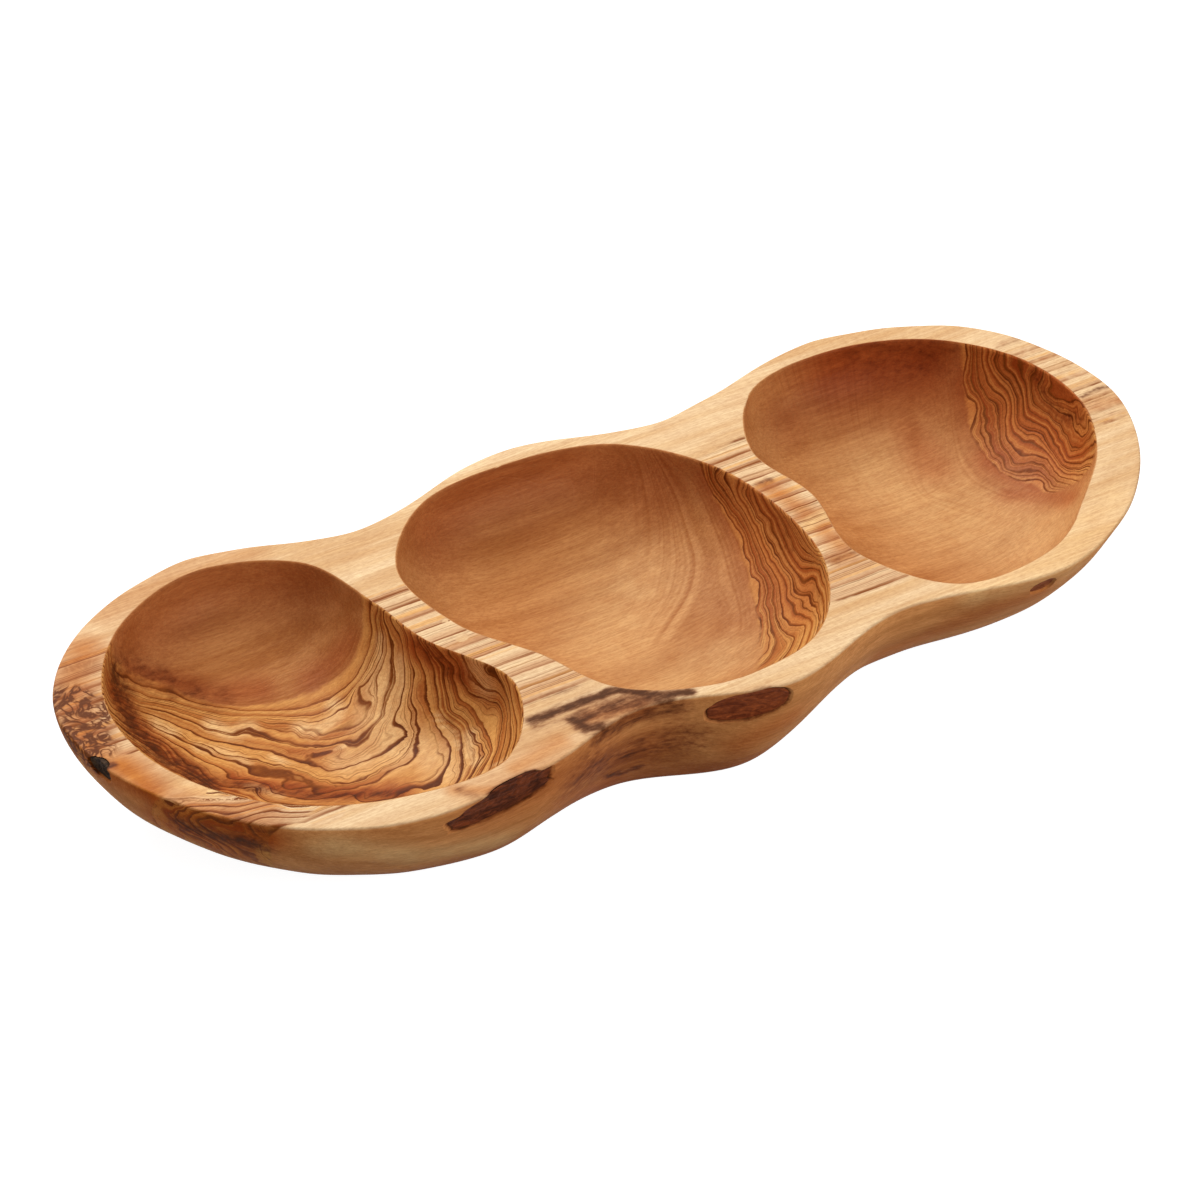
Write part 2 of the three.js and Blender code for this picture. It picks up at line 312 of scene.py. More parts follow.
def mesh_points(mesh):
    """A mesh's vertices, in millimetres."""
    return vectors(mesh.vertices, "co") / MM


def move_points(mesh, points):
    mesh.vertices.foreach_set("co", (points * MM).ravel())
    mesh.update()


def scene_object(name, data):
    made = bpy.data.objects.new(name, data)
    bpy.context.scene.collection.objects.link(made)
    return made


def mesh_object(name, points, faces):
    """A Blender object of welded points, in metres, with its normals outwards."""
    mesh = bpy.data.meshes.new(name)
    mesh.from_pydata((points * MM).tolist(), [], faces)
    welded = bmesh.new()
    welded.from_mesh(mesh)
    bmesh.ops.remove_doubles(welded, verts=welded.verts, dist=WELD_DISTANCE * MM)
    bmesh.ops.recalc_face_normals(welded, faces=welded.faces)
    welded.to_mesh(mesh)
    welded.free()
    return scene_object(name, mesh)


# The carved block

HAND_CARVING = 0.22  # how far a carved surface strays from its formula
CARVING_LENGTH = 28
LEVEL_BASE = 4  # height below which the flank runs true, so that the base stays flat


def dish_patches():
    places = np.arange(len(stations) * COLUMNS_PER_STATION) / COLUMNS_PER_STATION
    rings = [outer_edge(places, QUARTER_TURN * i / OUTER_EDGE_ROWS) for i in range(OUTER_EDGE_ROWS)]
    rings += [flank(places, QUARTER_TURN * i / FLANK_ROWS) for i in range(FLANK_ROWS + 1)]
    patches = [strip(rings), flat_patch(rings[-1][:, :2], [], BASE_SPACING, 0)]

    holes = []
    power = 2 / BOWL_FULLNESS
    wall_top = RIM_HEIGHT - BOWL_EDGE_RADIUS
    wall_depth = BOWL_DEPTH - BOWL_EDGE_RADIUS
    for bowl in bowls:
        opening = bowl.opening(BOWL_COLUMNS)
        wall = []
        for i in range(BOWL_EDGE_ROWS, 0, -1):
            angle = QUARTER_TURN * i / BOWL_EDGE_ROWS
            outwards = BOWL_EDGE_RADIUS * (1 - math.cos(angle))
            height = wall_top + BOWL_EDGE_RADIUS * math.sin(angle)
            wall.append(bowl_ring(bowl, opening, 1, outwards, height))
        for i in range(BOWL_ROWS):
            angle = QUARTER_TURN * i / BOWL_ROWS
            height = wall_top - wall_depth * math.sin(angle) ** power
            wall.append(bowl_ring(bowl, opening, math.cos(angle) ** power, 0, height))
        points, faces = strip(wall)
        lowest = len(points)
        last = lowest - BOWL_COLUMNS
        faces += [[last + i, last + (i + 1) % BOWL_COLUMNS, lowest] for i in range(BOWL_COLUMNS)]
        patches.append((np.vstack([points, [bowl.x, 0, FLOOR_THICKNESS]]), faces))
        holes.append(wall[0][:, :2])
    patches.append(flat_patch(rings[0][:, :2], holes, RIM_SPACING, RIM_HEIGHT))
    return patches


def dish_object():
    points = []
    faces = []
    first = 0
    for patch_points, patch_faces in dish_patches():
        points.append(patch_points)
        faces += [[first + corner for corner in face] for face in patch_faces]
        first += len(patch_points)
    made = mesh_object("olive_dish", np.concatenate(points) + row_offset, faces)
    co = mesh_points(made.data)
    strays = HAND_CARVING * smooth_step(co[:, 2] / LEVEL_BASE) * ripple(co, CARVING_LENGTH, seed=3)
    carved = co + vectors(made.data.vertices, "normal") * strays[:, None]
    carved[:, 2] = np.clip(carved[:, 2], 0, RIM_HEIGHT)
    move_points(made.data, carved)
    return made


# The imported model's origin is under the middle of the dish's box, so the stations shift to that.
cad_low, cad_high = (np.array(corner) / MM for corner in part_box("dish_body"))
outline = smooth_loop(rim_corners, np.arange(len(stations) * OUTLINE_STEPS) / OUTLINE_STEPS)
outline_middle = (outline.min(axis=0) + outline.max(axis=0)) / 2
row_offset = np.append((cad_low + cad_high)[:2] / 2 - outline_middle, 0)
dish = dish_object()
bpy.context.view_layer.update()
whole_surface = BVHTree.FromObject(dish, bpy.context.evaluated_depsgraph_get())

# Pockets of bark and knot in the flanks

BARK_CLEARANCE = 0.3
BARK_RECESS = 0.8
BARK_SCOOP = 0.5  # further hollow of the bark's middle
BARK_STRETCH = (0.5, 1, 1)  # relief is longer along the row
BARK_RELIEF = 3.2
BARK_FINE_RELIEF = 1.3
BARK_FINE_SHARE = 0.6
BARK_MARGIN = 0.96  # squared share of the egg's reach beyond which the bark stays smooth
BARK_BLEND = 0.3
BARK_CUTS = 2
AXIS_STEP = 0.002
EGG_COLUMNS = 72
EGG_ROWS = 36
EGG_FULLNESS = 2.4


def flank_axes(station, share, drop, tilt):
    """Place on the flank, and the axes there: along the rim, up the flank and out of the wood."""
    place = np.array([station_names.index(station) + share])
    down = max(drop - OUTER_EDGE_RADIUS, 0) / (RIM_HEIGHT - OUTER_EDGE_RADIUS)
    angle = math.asin(down ** (fullness_at(place)[0] / 2))
    turn = AXIS_STEP * len(stations)
    along = Vector((flank(place + turn, angle) - flank(place - turn, angle))[0]).normalized()
    downwards = flank(place, angle + AXIS_STEP) - flank(place, angle - AXIS_STEP)
    downwards = Vector(downwards[0]).normalized()
    outwards = downwards.cross(along).normalized()
    along.rotate(Matrix.Rotation(math.radians(tilt), 3, outwards))
    return flank(place, angle)[0] + row_offset, np.array([along, outwards.cross(along), outwards])


def egg(name, at, axes, half_sizes, unevenness, seed):
    """Egg-shaped body with an uneven outline, sunk to its middle in the flank."""
    chance = np.random.default_rng(seed)
    waves = (2, 3, 5, 7, 11)
    phases = chance.uniform(0, FULL_TURN, len(waves))
    turns = FULL_TURN * np.arange(EGG_COLUMNS) / EGG_COLUMNS
    swell = 1 + unevenness * sum(np.sin(k * turns + p) / math.sqrt(k) for k, p in zip(waves, phases))
    full = np.column_stack([np.cos(turns), np.sin(turns)])
    full = np.sign(full) * np.abs(full) ** (2 / EGG_FULLNESS)
    outline = full * swell[:, None]
    rings = []
    for i in range(1, EGG_ROWS):
        rise = math.pi * i / EGG_ROWS - QUARTER_TURN
        rings.append(at_height(outline * math.cos(rise), math.sin(rise)))
    points, faces = strip(rings)
    low = len(points)
    last = low - EGG_COLUMNS
    for i in range(EGG_COLUMNS):
        after = (i + 1) % EGG_COLUMNS
        faces += [[i, after, low], [last + i, last + after, low + 1]]
    points = np.vstack([points, [0, 0, -1], [0, 0, 1]])
    return mesh_object(name, at + (points * half_sizes) @ axes, faces)


def combine(piece, operation, other):
    """Applies a Boolean of two closed meshes to the first one."""
    modifier = piece.modifiers.new("combine", "BOOLEAN")
    modifier.operation = operation
    modifier.solver = "MANIFOLD"
    modifier.object = other
    evaluated = piece.evaluated_get(bpy.context.evaluated_depsgraph_get())
    result = bpy.data.meshes.new_from_object(evaluated)
    piece.modifiers.remove(modifier)
    piece.data = result


def refine(piece, cuts):
    finer = bmesh.new()
    finer.from_mesh(piece.data)
    bmesh.ops.triangulate(finer, faces=finer.faces)
    bmesh.ops.subdivide_edges(finer, edges=finer.edges, cuts=cuts, use_grid_fill=True)
    finer.to_mesh(piece.data)
    finer.free()


def inclusion(name, node, place, size, unevenness, roughness, seed):
    """Cuts a pocket in the dish and seats a piece in it, a little below the flank."""
    at, axes = flank_axes(*place)
    half_sizes = np.array([size[0] / 2, size[1] / 2, size[2]])
    pocket = egg("pocket", at, axes, half_sizes, unevenness, seed)
    seated = half_sizes - BARK_CLEARANCE
    piece = egg(name, at, axes, seated, unevenness, seed)
    sunk = scene_object("sunk_dish", dish.data.copy())
    sunk.data.transform(Matrix.Translation(Vector(axes[2]) * -BARK_RECESS * MM))
    bpy.context.view_layer.update()
    combine(piece, "INTERSECT", sunk)
    refine(piece, BARK_CUTS)
    combine(dish, "DIFFERENCE", pocket)
    co = mesh_points(piece.data)
    local = ((co - at) @ axes.T) / seated
    shown = smooth_step((BARK_MARGIN - (local**2).sum(axis=1)) / BARK_BLEND)
    stretched = co * BARK_STRETCH
    relief = ripple(stretched, BARK_RELIEF, seed + 1)
    relief += BARK_FINE_SHARE * ripple(stretched, BARK_FINE_RELIEF, seed + 2)
    depth = shown * (BARK_SCOOP * (1 - (local[:, :2] ** 2).sum(axis=1)) + roughness * (1 + relief))
    move_points(piece.data, co - axes[2] * depth[:, None])
    for spent in (pocket, sunk):
        bpy.data.objects.remove(spent)
    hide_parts(node)
    return piece


middle_bark = inclusion(
    "middle_bark", "middle_bark_patch", ("left waist front", 0.72, 7.4, 8), (30.5, 14, 4), 0.03, 0.12,
    seed=11,
)
waist_bark = inclusion(
    "waist_bark", "waist_bark_patch", ("left front", 0.68, 5.8, 11), (46, 12, 4), 0.11, 0.3, seed=23
)
end_bark = inclusion(
    "left_end_bark", "left_end_bark_chip", ("left tip", 0.08, 2.5, 0), (12, 6, 4), 0.08, 0.3, seed=37
)
pin_knot = inclusion(
    "right_knot", "right_pin_knot", ("right waist front", 0.81, 6, 0), (9.5, 8, 3), 0.04, 0.05, seed=41
)
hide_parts("dish_body")

for piece in (dish, middle_bark, waist_bark, end_bark, pin_knot):
    piece.data.shade_smooth()
    piece.data.set_sharp_from_angle(angle=SHARP_ANGLE)

# Camera, at the photograph's viewing angle

PHOTO_SIDE = 1200
SENSOR = 36
LENS = 137.143
PIXEL_SLOPE = SENSOR / (PHOTO_SIDE * LENS)
CAMERA_ELEVATION = math.radians(37.5)
CAMERA_AZIMUTH = math.radians(-31.285)
CAMERA_DISTANCE = 1461.54
CAMERA_TARGET = np.array([-7.8901, 5.3967, 30])

level = math.cos(CAMERA_ELEVATION)
camera_back = np.array(
    [math.sin(CAMERA_AZIMUTH) * level, -math.cos(CAMERA_AZIMUTH) * level, math.sin(CAMERA_ELEVATION)]
)
camera_right = np.array([math.cos(CAMERA_AZIMUTH), math.sin(CAMERA_AZIMUTH), 0])
camera_up = np.cross(camera_back, camera_right)
camera_place = CAMERA_TARGET + camera_back * CAMERA_DISTANCE

camera_data = bpy.data.cameras.new("photo_camera")
camera_data.sensor_width = SENSOR
camera_data.lens = LENS
camera = scene_object("photo_camera", camera_data)
turned = Matrix((camera_right, camera_up, camera_back)).transposed().to_4x4()
camera.matrix_world = Matrix.Translation(Vector(camera_place * MM)) @ turned
bpy.context.scene.camera = camera


def seen(pixels):
    """Points of the dish, in millimetres, that the photograph shows at these pixels."""
    found = []
    for x, y in pixels:
        across = (x - PHOTO_SIDE / 2) * PIXEL_SLOPE
        down = (y - PHOTO_SIDE / 2) * PIXEL_SLOPE
        ray = Vector(camera_right * across - camera_up * down - camera_back)
        hit = whole_surface.ray_cast(Vector(camera_place * MM), ray.normalized())[0]
        if hit is not None:
            found.append(np.array(hit) / MM)
    return np.array(found)


# Growth lines picked from the photograph, by pixel: each has one level

LEFT_BOWL_LINES = {
    0: [
        [(362, 604), (362, 622), (359, 642), (353, 658), (345, 669), (335, 678), (320, 686), (300, 694)],
        [(280, 700), (260, 704), (240, 707), (215, 703), (192, 697), (170, 686), (150, 679), (116, 660)],
    ],
    -1: [
        [(410, 590), (395, 595), (380, 601), (371, 612), (373, 630), (370, 648), (362, 669), (346, 688)],
        [(330, 701), (305, 709), (285, 711), (240, 712), (195, 703), (160, 691), (122, 680)],
    ],
    -2: [
        [(414, 594), (398, 599), (384, 605), (375, 613), (378, 630), (378, 642), (372, 656), (359, 684)],
        [(352, 690), (336, 706), (318, 716), (290, 716), (255, 715), (225, 717), (200, 710), (150, 698),
         (114, 685)],
    ],
    -3: [
        [(359, 686), (373, 697), (375, 703), (372, 711), (354, 727), (340, 732), (325, 735), (312, 735),
         (304, 731)],
        [(298, 726), (288, 724), (250, 720), (225, 722), (200, 716), (175, 707), (140, 702), (112, 690)],
    ],
    -4: [
        [(420, 600), (405, 604), (390, 608), (382, 613), (388, 630), (392, 645), (390, 660), (396, 669)],
        [(393, 685), (388, 698), (378, 721), (362, 735), (335, 747), (300, 751), (278, 744), (256, 730),
         (247, 724)],
    ],
    -4.5: [[(285, 753), (262, 746), (222, 738), (200, 731), (178, 722), (155, 714), (125, 702)]],
    -5: [
        [(424, 607), (410, 612), (400, 617), (394, 623), (400, 636), (407, 668), (405, 690), (399, 720)],
        [(403, 727), (408, 734), (406, 743), (388, 758), (355, 768), (325, 771), (302, 767), (285, 757)],
        [(255, 749), (225, 744), (195, 734), (165, 721), (135, 710), (122, 703)],
    ],
    -6: [
        [(430, 611), (415, 617), (407, 623), (403, 631), (413, 655), (417, 680), (413, 725), (415, 755)],
        [(405, 772), (380, 783), (340, 790), (310, 782), (285, 772), (262, 770), (230, 763), (195, 749)],
        [(175, 740), (155, 730), (130, 716), (118, 706)],
    ],
    -7: [
        [(434, 615), (421, 621), (413, 626), (410, 634), (418, 650), (429, 680), (431, 710), (440, 733)],
        [(448, 742), (453, 752), (454, 763), (451, 774), (445, 786)],
        [(282, 796), (262, 784), (235, 776), (197, 758), (160, 739), (130, 721), (117, 711)],
    ],
    -8: [
        [(440, 616), (424, 623), (418, 628), (416, 635), (424, 648), (434, 675), (438, 705), (447, 722)],
        [(455, 728), (461, 735), (463, 745), (463, 757), (462, 767)],
        [(246, 799), (230, 787), (205, 772), (175, 755), (145, 738), (115, 716)],
    ],
    -9: [
        [(446, 623), (435, 627), (425, 630), (422, 636), (432, 655), (443, 682), (450, 705), (465, 719)],
        [(470, 726), (477, 731), (481, 737), (484, 745), (486, 753)],
        [(228, 795), (200, 779), (170, 761), (140, 743), (112, 719)],
    ],
    -10: [
        [(475, 626), (455, 631), (438, 635), (434, 640), (440, 655), (452, 682), (465, 700), (480, 715),
         (490, 745)],
        [(210, 789), (190, 780), (170, 769), (150, 757), (130, 742)],
    ],
    -11: [
        [(492, 636), (475, 641), (455, 645), (448, 648), (453, 660), (463, 682), (478, 696), (494, 700)],
        [(500, 706), (505, 714), (506, 722), (503, 732), (497, 752)],
    ],
    -12: [[(502, 642), (490, 645), (475, 650), (468, 654), (466, 662), (466, 672), (468, 681),
           (473, 688)]],
    -13: [[(492, 664), (499, 676), (505, 690), (509, 700), (511, 715), (511, 730)]],
    -14: [[(540, 665), (530, 668), (516, 671), (508, 674), (510, 690), (514, 705), (517, 720)]],
    -15: [[(545, 677), (530, 680), (519, 685), (521, 700)]],
}
MIDDLE_BOWL_LINES = {
    -4: [[(591, 448), (600, 491), (605, 531), (594, 571), (564, 601)]],
    -2: [[(643, 448), (655, 485), (665, 522), (666, 559), (659, 595), (637, 626)]],
    -1: [[(655, 451), (680, 488), (708, 559), (704, 589), (689, 620), (665, 650)]],
    0: [[(699, 464), (706, 480), (716, 500), (735, 538), (742, 558), (750, 585), (754, 605), (759, 630)]],
    1: [
        [(745, 446), (725, 455), (707, 467), (716, 488), (728, 505), (748, 538), (758, 570), (766, 610),
         (776, 638)],
    ],
    2: [
        [(753, 452), (735, 460), (715, 472), (722, 490), (742, 515), (757, 548), (769, 585), (775, 615),
         (788, 640)],
    ],
    3: [
        [(758, 456), (740, 465), (722, 476), (738, 502), (756, 535), (771, 575), (778, 605), (787, 627),
         (805, 626)],
    ],
    4: [
        [(766, 462), (748, 472), (733, 482), (751, 515), (768, 552), (782, 590), (786, 603), (800, 616),
         (810, 614)],
    ],
    5: [[(772, 468), (757, 477), (744, 488), (760, 518), (775, 550), (788, 580), (795, 595), (808, 609)]],
    6: [[(780, 472), (768, 478), (753, 491), (768, 515), (781, 545), (793, 572), (806, 588), (812, 592)]],
    7: [[(786, 476), (775, 481), (763, 496), (777, 520), (787, 545), (799, 566), (812, 568), (820, 567)]],
    8: [[(800, 484), (785, 492), (771, 501), (784, 525), (793, 548), (807, 560), (815, 562)]],
    9: [[(810, 490), (795, 497), (779, 506), (791, 530), (803, 550), (810, 554)]],
    10: [[(820, 495), (805, 503), (788, 512), (799, 535), (805, 543)]],
    11: [[(822, 502), (808, 508), (796, 517)]],
    12: [[(832, 522), (820, 532), (810, 541)]],
    13: [[(842, 528), (830, 536), (816, 547)]],
    14: [[(852, 537), (840, 544), (823, 555)]],
    15: [[(860, 547), (845, 554), (829, 564)]],
    16: [[(880, 560), (848, 566), (833, 574)]],
    17: [[(880, 565), (850, 572), (835, 581)]],
    18: [[(880, 570), (855, 577), (836, 588)]],
}
RIGHT_BOWL_LINES = {
    -3: [[(900, 341), (894, 380), (888, 417), (900, 456)]],
    -2: [[(933, 341), (930, 374), (936, 403), (944, 431), (942, 461), (933, 490)]],
    -1: [[(950, 344), (950, 374), (955, 403), (956, 431), (964, 458), (980, 478), (1005, 492)]],
    0: [
        [(957, 343), (961, 380), (964, 415), (971, 438), (986, 456), (992, 465), (1012, 477),
         (1031, 485)],
        [(1038, 490), (1048, 493), (1060, 491)],
    ],
    1: [
        [(970, 346), (973, 370), (977, 390), (976, 420), (987, 443), (998, 462), (1016, 475), (1036, 480),
         (1052, 487)],
    ],
    2: [
        [(976, 348), (981, 380), (983, 410), (984, 420), (997, 433), (1001, 450), (1013, 466),
         (1041, 472), (1055, 480)],
    ],
    3: [[(984, 349), (990, 380), (995, 408), (1003, 430), (1010, 455), (1018, 462), (1046, 467),
         (1050, 475)]],
    4: [[(992, 350), (999, 385), (1004, 412), (1015, 437), (1029, 455), (1048, 459), (1055, 465)]],
    5: [[(1000, 353), (1007, 375), (1010, 395), (1015, 418), (1030, 440), (1050, 455), (1058, 462)]],
    6: [[(1005, 356), (1015, 380), (1021, 402), (1033, 420), (1048, 440), (1065, 456)]],
    7: [[(1013, 359), (1023, 382), (1031, 405), (1045, 425), (1062, 443), (1072, 450)]],
    8: [[(1028, 363), (1036, 388), (1044, 412), (1058, 432), (1078, 445)]],
    9: [[(1038, 369), (1046, 395), (1057, 418), (1075, 432), (1085, 436)]],
    10: [[(1053, 377), (1060, 397), (1065, 402), (1081, 405)]],
}

FRONT_LEFT_LINES = {
    -8: [[(300, 800), (260, 798), (227, 799), (190, 802), (168, 808), (163, 816), (180, 830),
          (205, 845)]],
    -9: [[(300, 804), (260, 803), (220, 805), (190, 808), (175, 813), (180, 823), (200, 837),
          (222, 850)]],
    -10: [[(310, 808), (270, 809), (215, 811), (190, 817), (196, 827), (221, 841), (240, 853)]],
    -11: [[(320, 812), (270, 815), (230, 817), (208, 822), (212, 831), (232, 843), (250, 853)]],
    -12: [[(330, 815), (290, 818), (250, 822), (230, 827), (238, 838), (258, 849)]],
}

# Strength of the figure: above 0 it is rich, below 0 the wood is plain

FIGURE_PER_LEVEL = 5
FIGURE_MOST = 12
PLAIN = -14
PLAIN_SPOTS = [
    (432, 604), (445, 622), (424, 585), (462, 640),
    (200, 590), (260, 640), (310, 600), (170, 640), (230, 680), (330, 640),
    (450, 520), (520, 480), (520, 560), (600, 620), (560, 650), (640, 670), (440, 590),
    (780, 420), (830, 400), (850, 480), (900, 540), (960, 560), (1020, 540), (1060, 520),
    (680, 690), (720, 685), (690, 655), (940, 520), (985, 510), (900, 500), (1010, 520), (1075, 508),
    (170, 575), (280, 552), (370, 560), (460, 476), (600, 440), (700, 420), (820, 345), (930, 333),
    (400, 810), (480, 790), (560, 735), (760, 675), (860, 610), (960, 588), (1060, 562), (1110, 500),
    (300, 850), (420, 845), (660, 760), (760, 735), (900, 640), (1000, 605),
    (285, 840), (300, 830), (350, 840), (290, 858), (360, 818), (120, 778), (140, 778), (130, 800),
    (150, 825),
    (190, 786), (175, 790), (205, 790),
]
STRIPED_SPOTS = [
    (385, 595), (420, 612), (460, 628), (500, 650), (530, 690), (400, 590), (440, 605), (480, 640),
    (720, 455), (750, 470), (790, 500), (820, 530), (850, 565), (770, 480), (840, 550),
]
STRIPED = 2.5
FAINT_SPOTS = [
    (1000, 343), (1020, 348), (1040, 354), (1060, 364), (1085, 385), (1100, 398), (1110, 420),
]
FAINT = 1.1

# Fields over the dish

LINE_SPACING = 9  # pixels between the points taken from a picked line
STROKE_SPACING = 4
PLANE_TERMS = 4
CHUNK = 4000  # points of the dish taken at a time
FIELD_GIVE = 0.5
EDGE_SHARE = 0.6  # of an edge's round, where one surface ends
UNDERSIDE = -0.1  # upward share of a normal below which a face looks down
FLOOR_MARGIN = 1
BARK_EDGE = 1.7
BARK_EDGE_DARKENING = 0.85
UNSEEN_FADE = 12
UNSEEN_REDNESS = 0.75
RIM_BAND = 1
RIM_BLEND = 0.9
SWIRL_REACH = 16
SWIRL_GAIN = 3
SWIRL_START = 0.5

dish_points = mesh_points(dish.data)


def spread(places, values, at, give):
    """Smooth field through values at scattered places; give lets it miss them a little."""
    count = len(places)
    apart = np.linalg.norm(places[:, None] - places[None], axis=-1)
    plane = np.column_stack([np.ones(count), places])
    corner = np.zeros((PLANE_TERMS, PLANE_TERMS))
    system = np.block([[apart - give * np.eye(count), plane], [plane.T, corner]])
    weights = np.linalg.solve(system, np.append(values, np.zeros(PLANE_TERMS)))
    field = np.column_stack([np.ones(len(at)), at]) @ weights[count:]
    for start in range(0, len(at), CHUNK):
        part = slice(start, start + CHUNK)
        reach = np.linalg.norm(at[part][:, None] - places[None], axis=-1)
        field[part] += reach @ weights[:count]
    return field


def along_pixels(corners, spacing):
    """Points along a line of pixels, this far apart."""
    corners = np.array(corners, float)
    lengths = np.append(0, np.cumsum(np.linalg.norm(np.diff(corners, axis=0), axis=1)))
    steps = np.linspace(0, lengths[-1], max(2, round(lengths[-1] / spacing)))
    return np.column_stack([np.interp(steps, lengths, corners[:, i]) for i in range(2)])


def surface_at(points, normals, beyond):
    """Number of the surface at each point: 0 outside the bowls, then the bowls from left to right."""
    found = np.zeros(len(points), int)
    for number, bowl in enumerate(bowls, 1):
        edge = bowl_ring(bowl, bowl.opening(BOWL_COLUMNS), 1, beyond, 0) + row_offset
        found[inside(points[:, :2], edge[:, :2])] = number
    open_above = (normals[:, 2] > UNDERSIDE) & (points[:, 2] > FLOOR_THICKNESS - FLOOR_MARGIN)
    return np.where(open_above, found, 0)


dish_normals = vectors(dish.data.vertices, "normal")
dish_surface = surface_at(dish_points, dish_normals, BOWL_EDGE_RADIUS * EDGE_SHARE)
in_bowl = dish_surface > 0
point_tree = tree_of(dish_points)


def surfaces_of(points):
    return np.array([dish_surface[point_tree.find(point)[1]] for point in points])


def spread_by_surface(places, values):
    """Field over the dish from values at scattered places; each surface has its own."""
    numbers = surfaces_of(places)
    field = np.zeros(len(dish_points))
    for number in range(len(bowls) + 1):
        chosen = numbers == number
        here = dish_surface == number
        field[here] = spread(places[chosen], values[chosen], dish_points[here], FIELD_GIVE)
    return field


def growth_fields():
    """Level and strength of the figure at each point of the dish."""
    places = []
    levels = []
    strengths = []
    families = (
        (LEFT_BOWL_LINES, 1, -FIGURE_PER_LEVEL),
        (MIDDLE_BOWL_LINES, 2, FIGURE_PER_LEVEL),
        (RIGHT_BOWL_LINES, 3, FIGURE_PER_LEVEL),
        (FRONT_LEFT_LINES, 0, -FIGURE_PER_LEVEL),
    )
    for lines, own_surface, gain in families:
        for line_level, strands in lines.items():
            strength = np.clip(gain * line_level, PLAIN, FIGURE_MOST)
            for strand in strands:
                points = seen(along_pixels(strand, LINE_SPACING))
                points = points[np.isin(surfaces_of(points), (0, own_surface))]
                places += list(points)
                levels += [line_level] * len(points)
                strengths += [strength] * len(points)
    places = np.array(places)
    level_field = spread_by_surface(places, np.array(levels, float))

    for spots, strength in ((PLAIN_SPOTS, PLAIN), (STRIPED_SPOTS, STRIPED), (FAINT_SPOTS, FAINT)):
        points = seen(spots)
        places = np.concatenate([places, points])
        strengths += [strength] * len(points)
    return level_field, spread_by_surface(places, np.array(strengths, float))


def nearness(pixels, reach):
    """Field from 1 at a line of pixels to 0 beyond its reach in millimetres, with a soft edge.

    A line drawn in a bowl stays in the bowls, and one drawn outside stays outside.
    """
    points = seen(along_pixels(pixels, STROKE_SPACING))
    nearest = np.full(len(dish_points), np.inf)
    for point in points:
        nearest = np.minimum(nearest, np.linalg.norm(dish_points - point, axis=1))
    same_side = in_bowl == (np.mean(surfaces_of(points) > 0) > 0.5)
    return (1 - smooth_step(nearest / reach)) * same_side


def painted(strokes):
    """The strongest of several strokes at each point of the dish."""
    return np.max([strength * nearness(pixels, reach) for pixels, reach, strength in strokes], axis=0)


def bark_edges():
    """Field that darkens the wood along the edge of the bark."""
    pieces = [mesh_points(piece.data) for piece in (middle_bark, waist_bark)]
    apart = distances(np.concatenate(pieces), dish_points)
    return BARK_EDGE_DARKENING * (1 - smooth_step(apart / BARK_EDGE))


def unseen_walls():
    """Field from 0 where the photograph shows a bowl's wall to 1 well out of its sight."""
    eye = Vector(camera_place * MM)
    shown = []
    for point in dish_points[in_bowl]:
        place = Vector(point * MM)
        ray = (eye - place).normalized()
        shown.append(whole_surface.ray_cast(place + ray * MM, ray)[0] is None)
    walls = dish_points[in_bowl]
    field = np.zeros(len(dish_points))
    field[in_bowl] = smooth_step(distances(walls[np.array(shown)], walls) / UNSEEN_FADE)
    return field


# Strokes: pixels of the photograph, reach in millimetres, strength

FRONT_LEFT_SWIRL = [(280, 808), (225, 806), (185, 808), (180, 820), (225, 842)]

BURL_STROKES = [
    ([(70, 700), (90, 715), (82, 730), (92, 748)], 13, 1.0),
    ([(70, 668), (90, 664)], 8, 0.35),
]
# Stains, among them the dark bark streak on the rim at the waist, and painted shade on the flank's
# concave waist and on shaded bowl walls
STAIN_AND_SHADE_STROKES = [
    ([(532, 721), (560, 710), (590, 699), (618, 689)], 4.6, 1.0),
    ([(618, 690), (640, 693), (665, 694), (690, 692)], 4.4, 1.0),
    ([(643, 694), (656, 699)], 3.6, 1.0),
    ([(574, 720), (586, 728), (600, 727)], 5.5, 1.0),
    ([(580, 718), (605, 709), (640, 699), (665, 698)], 9, 0.8),
    ([(535, 728), (575, 713)], 3.6, 0.5),
    ([(548, 695), (575, 688)], 2.6, 0.5),
    # Dark patches, and painted shade, on the concave waist of the flank below the rim
    ([(600, 735), (640, 715), (680, 708)], 9, 0.7),
    ([(585, 772), (630, 752), (680, 740)], 20, 0.62),
    ([(830, 562), (856, 552)], 4.5, 0.5),
    ([(757, 486), (769, 480)], 3.5, 0.6),
    ([(180, 824), (220, 838), (260, 845)], 10, 0.75),
    ([(225, 815), (262, 832)], 6, 0.5),
    # Painted shade on the left bowl's left wall, which faces away from the key light
    ([(116, 672), (120, 700), (136, 732), (165, 758), (205, 782)], 14, 0.75),
    ([(605, 777), (625, 772), (640, 766)], 3.5, 0.9),
    ([(592, 746), (602, 752)], 3, 0.6),
    ([(460, 790), (478, 797)], 4, 0.5),
    ([(95, 770), (112, 765)], 3.5, 1.0),
    ([(1082, 397), (1097, 389), (1112, 386)], 2.2, 0.8),
    # Painted shade along the left bowl's upper left
    ([(125, 665), (150, 675), (185, 690), (215, 698)], 12, 0.5),
    ([(112, 690), (140, 730), (180, 765), (225, 790)], 11, 0.4),
    ([(235, 784), (320, 796), (400, 793)], 8, 0.6),
    ([(420, 645), (440, 660), (458, 676)], 8, 0.5),
    ([(440, 700), (452, 722), (462, 745)], 4, 0.35),
    ([(1036, 375), (1048, 400), (1062, 415), (1080, 418)], 6, 0.5),
    ([(775, 520), (790, 550)], 6, 0.35),
    # Painted shade on the right bowl's back wall
    ([(850, 350), (930, 350)], 22, 0.4),
    ([(815, 590), (822, 600)], 5, 0.4),
]
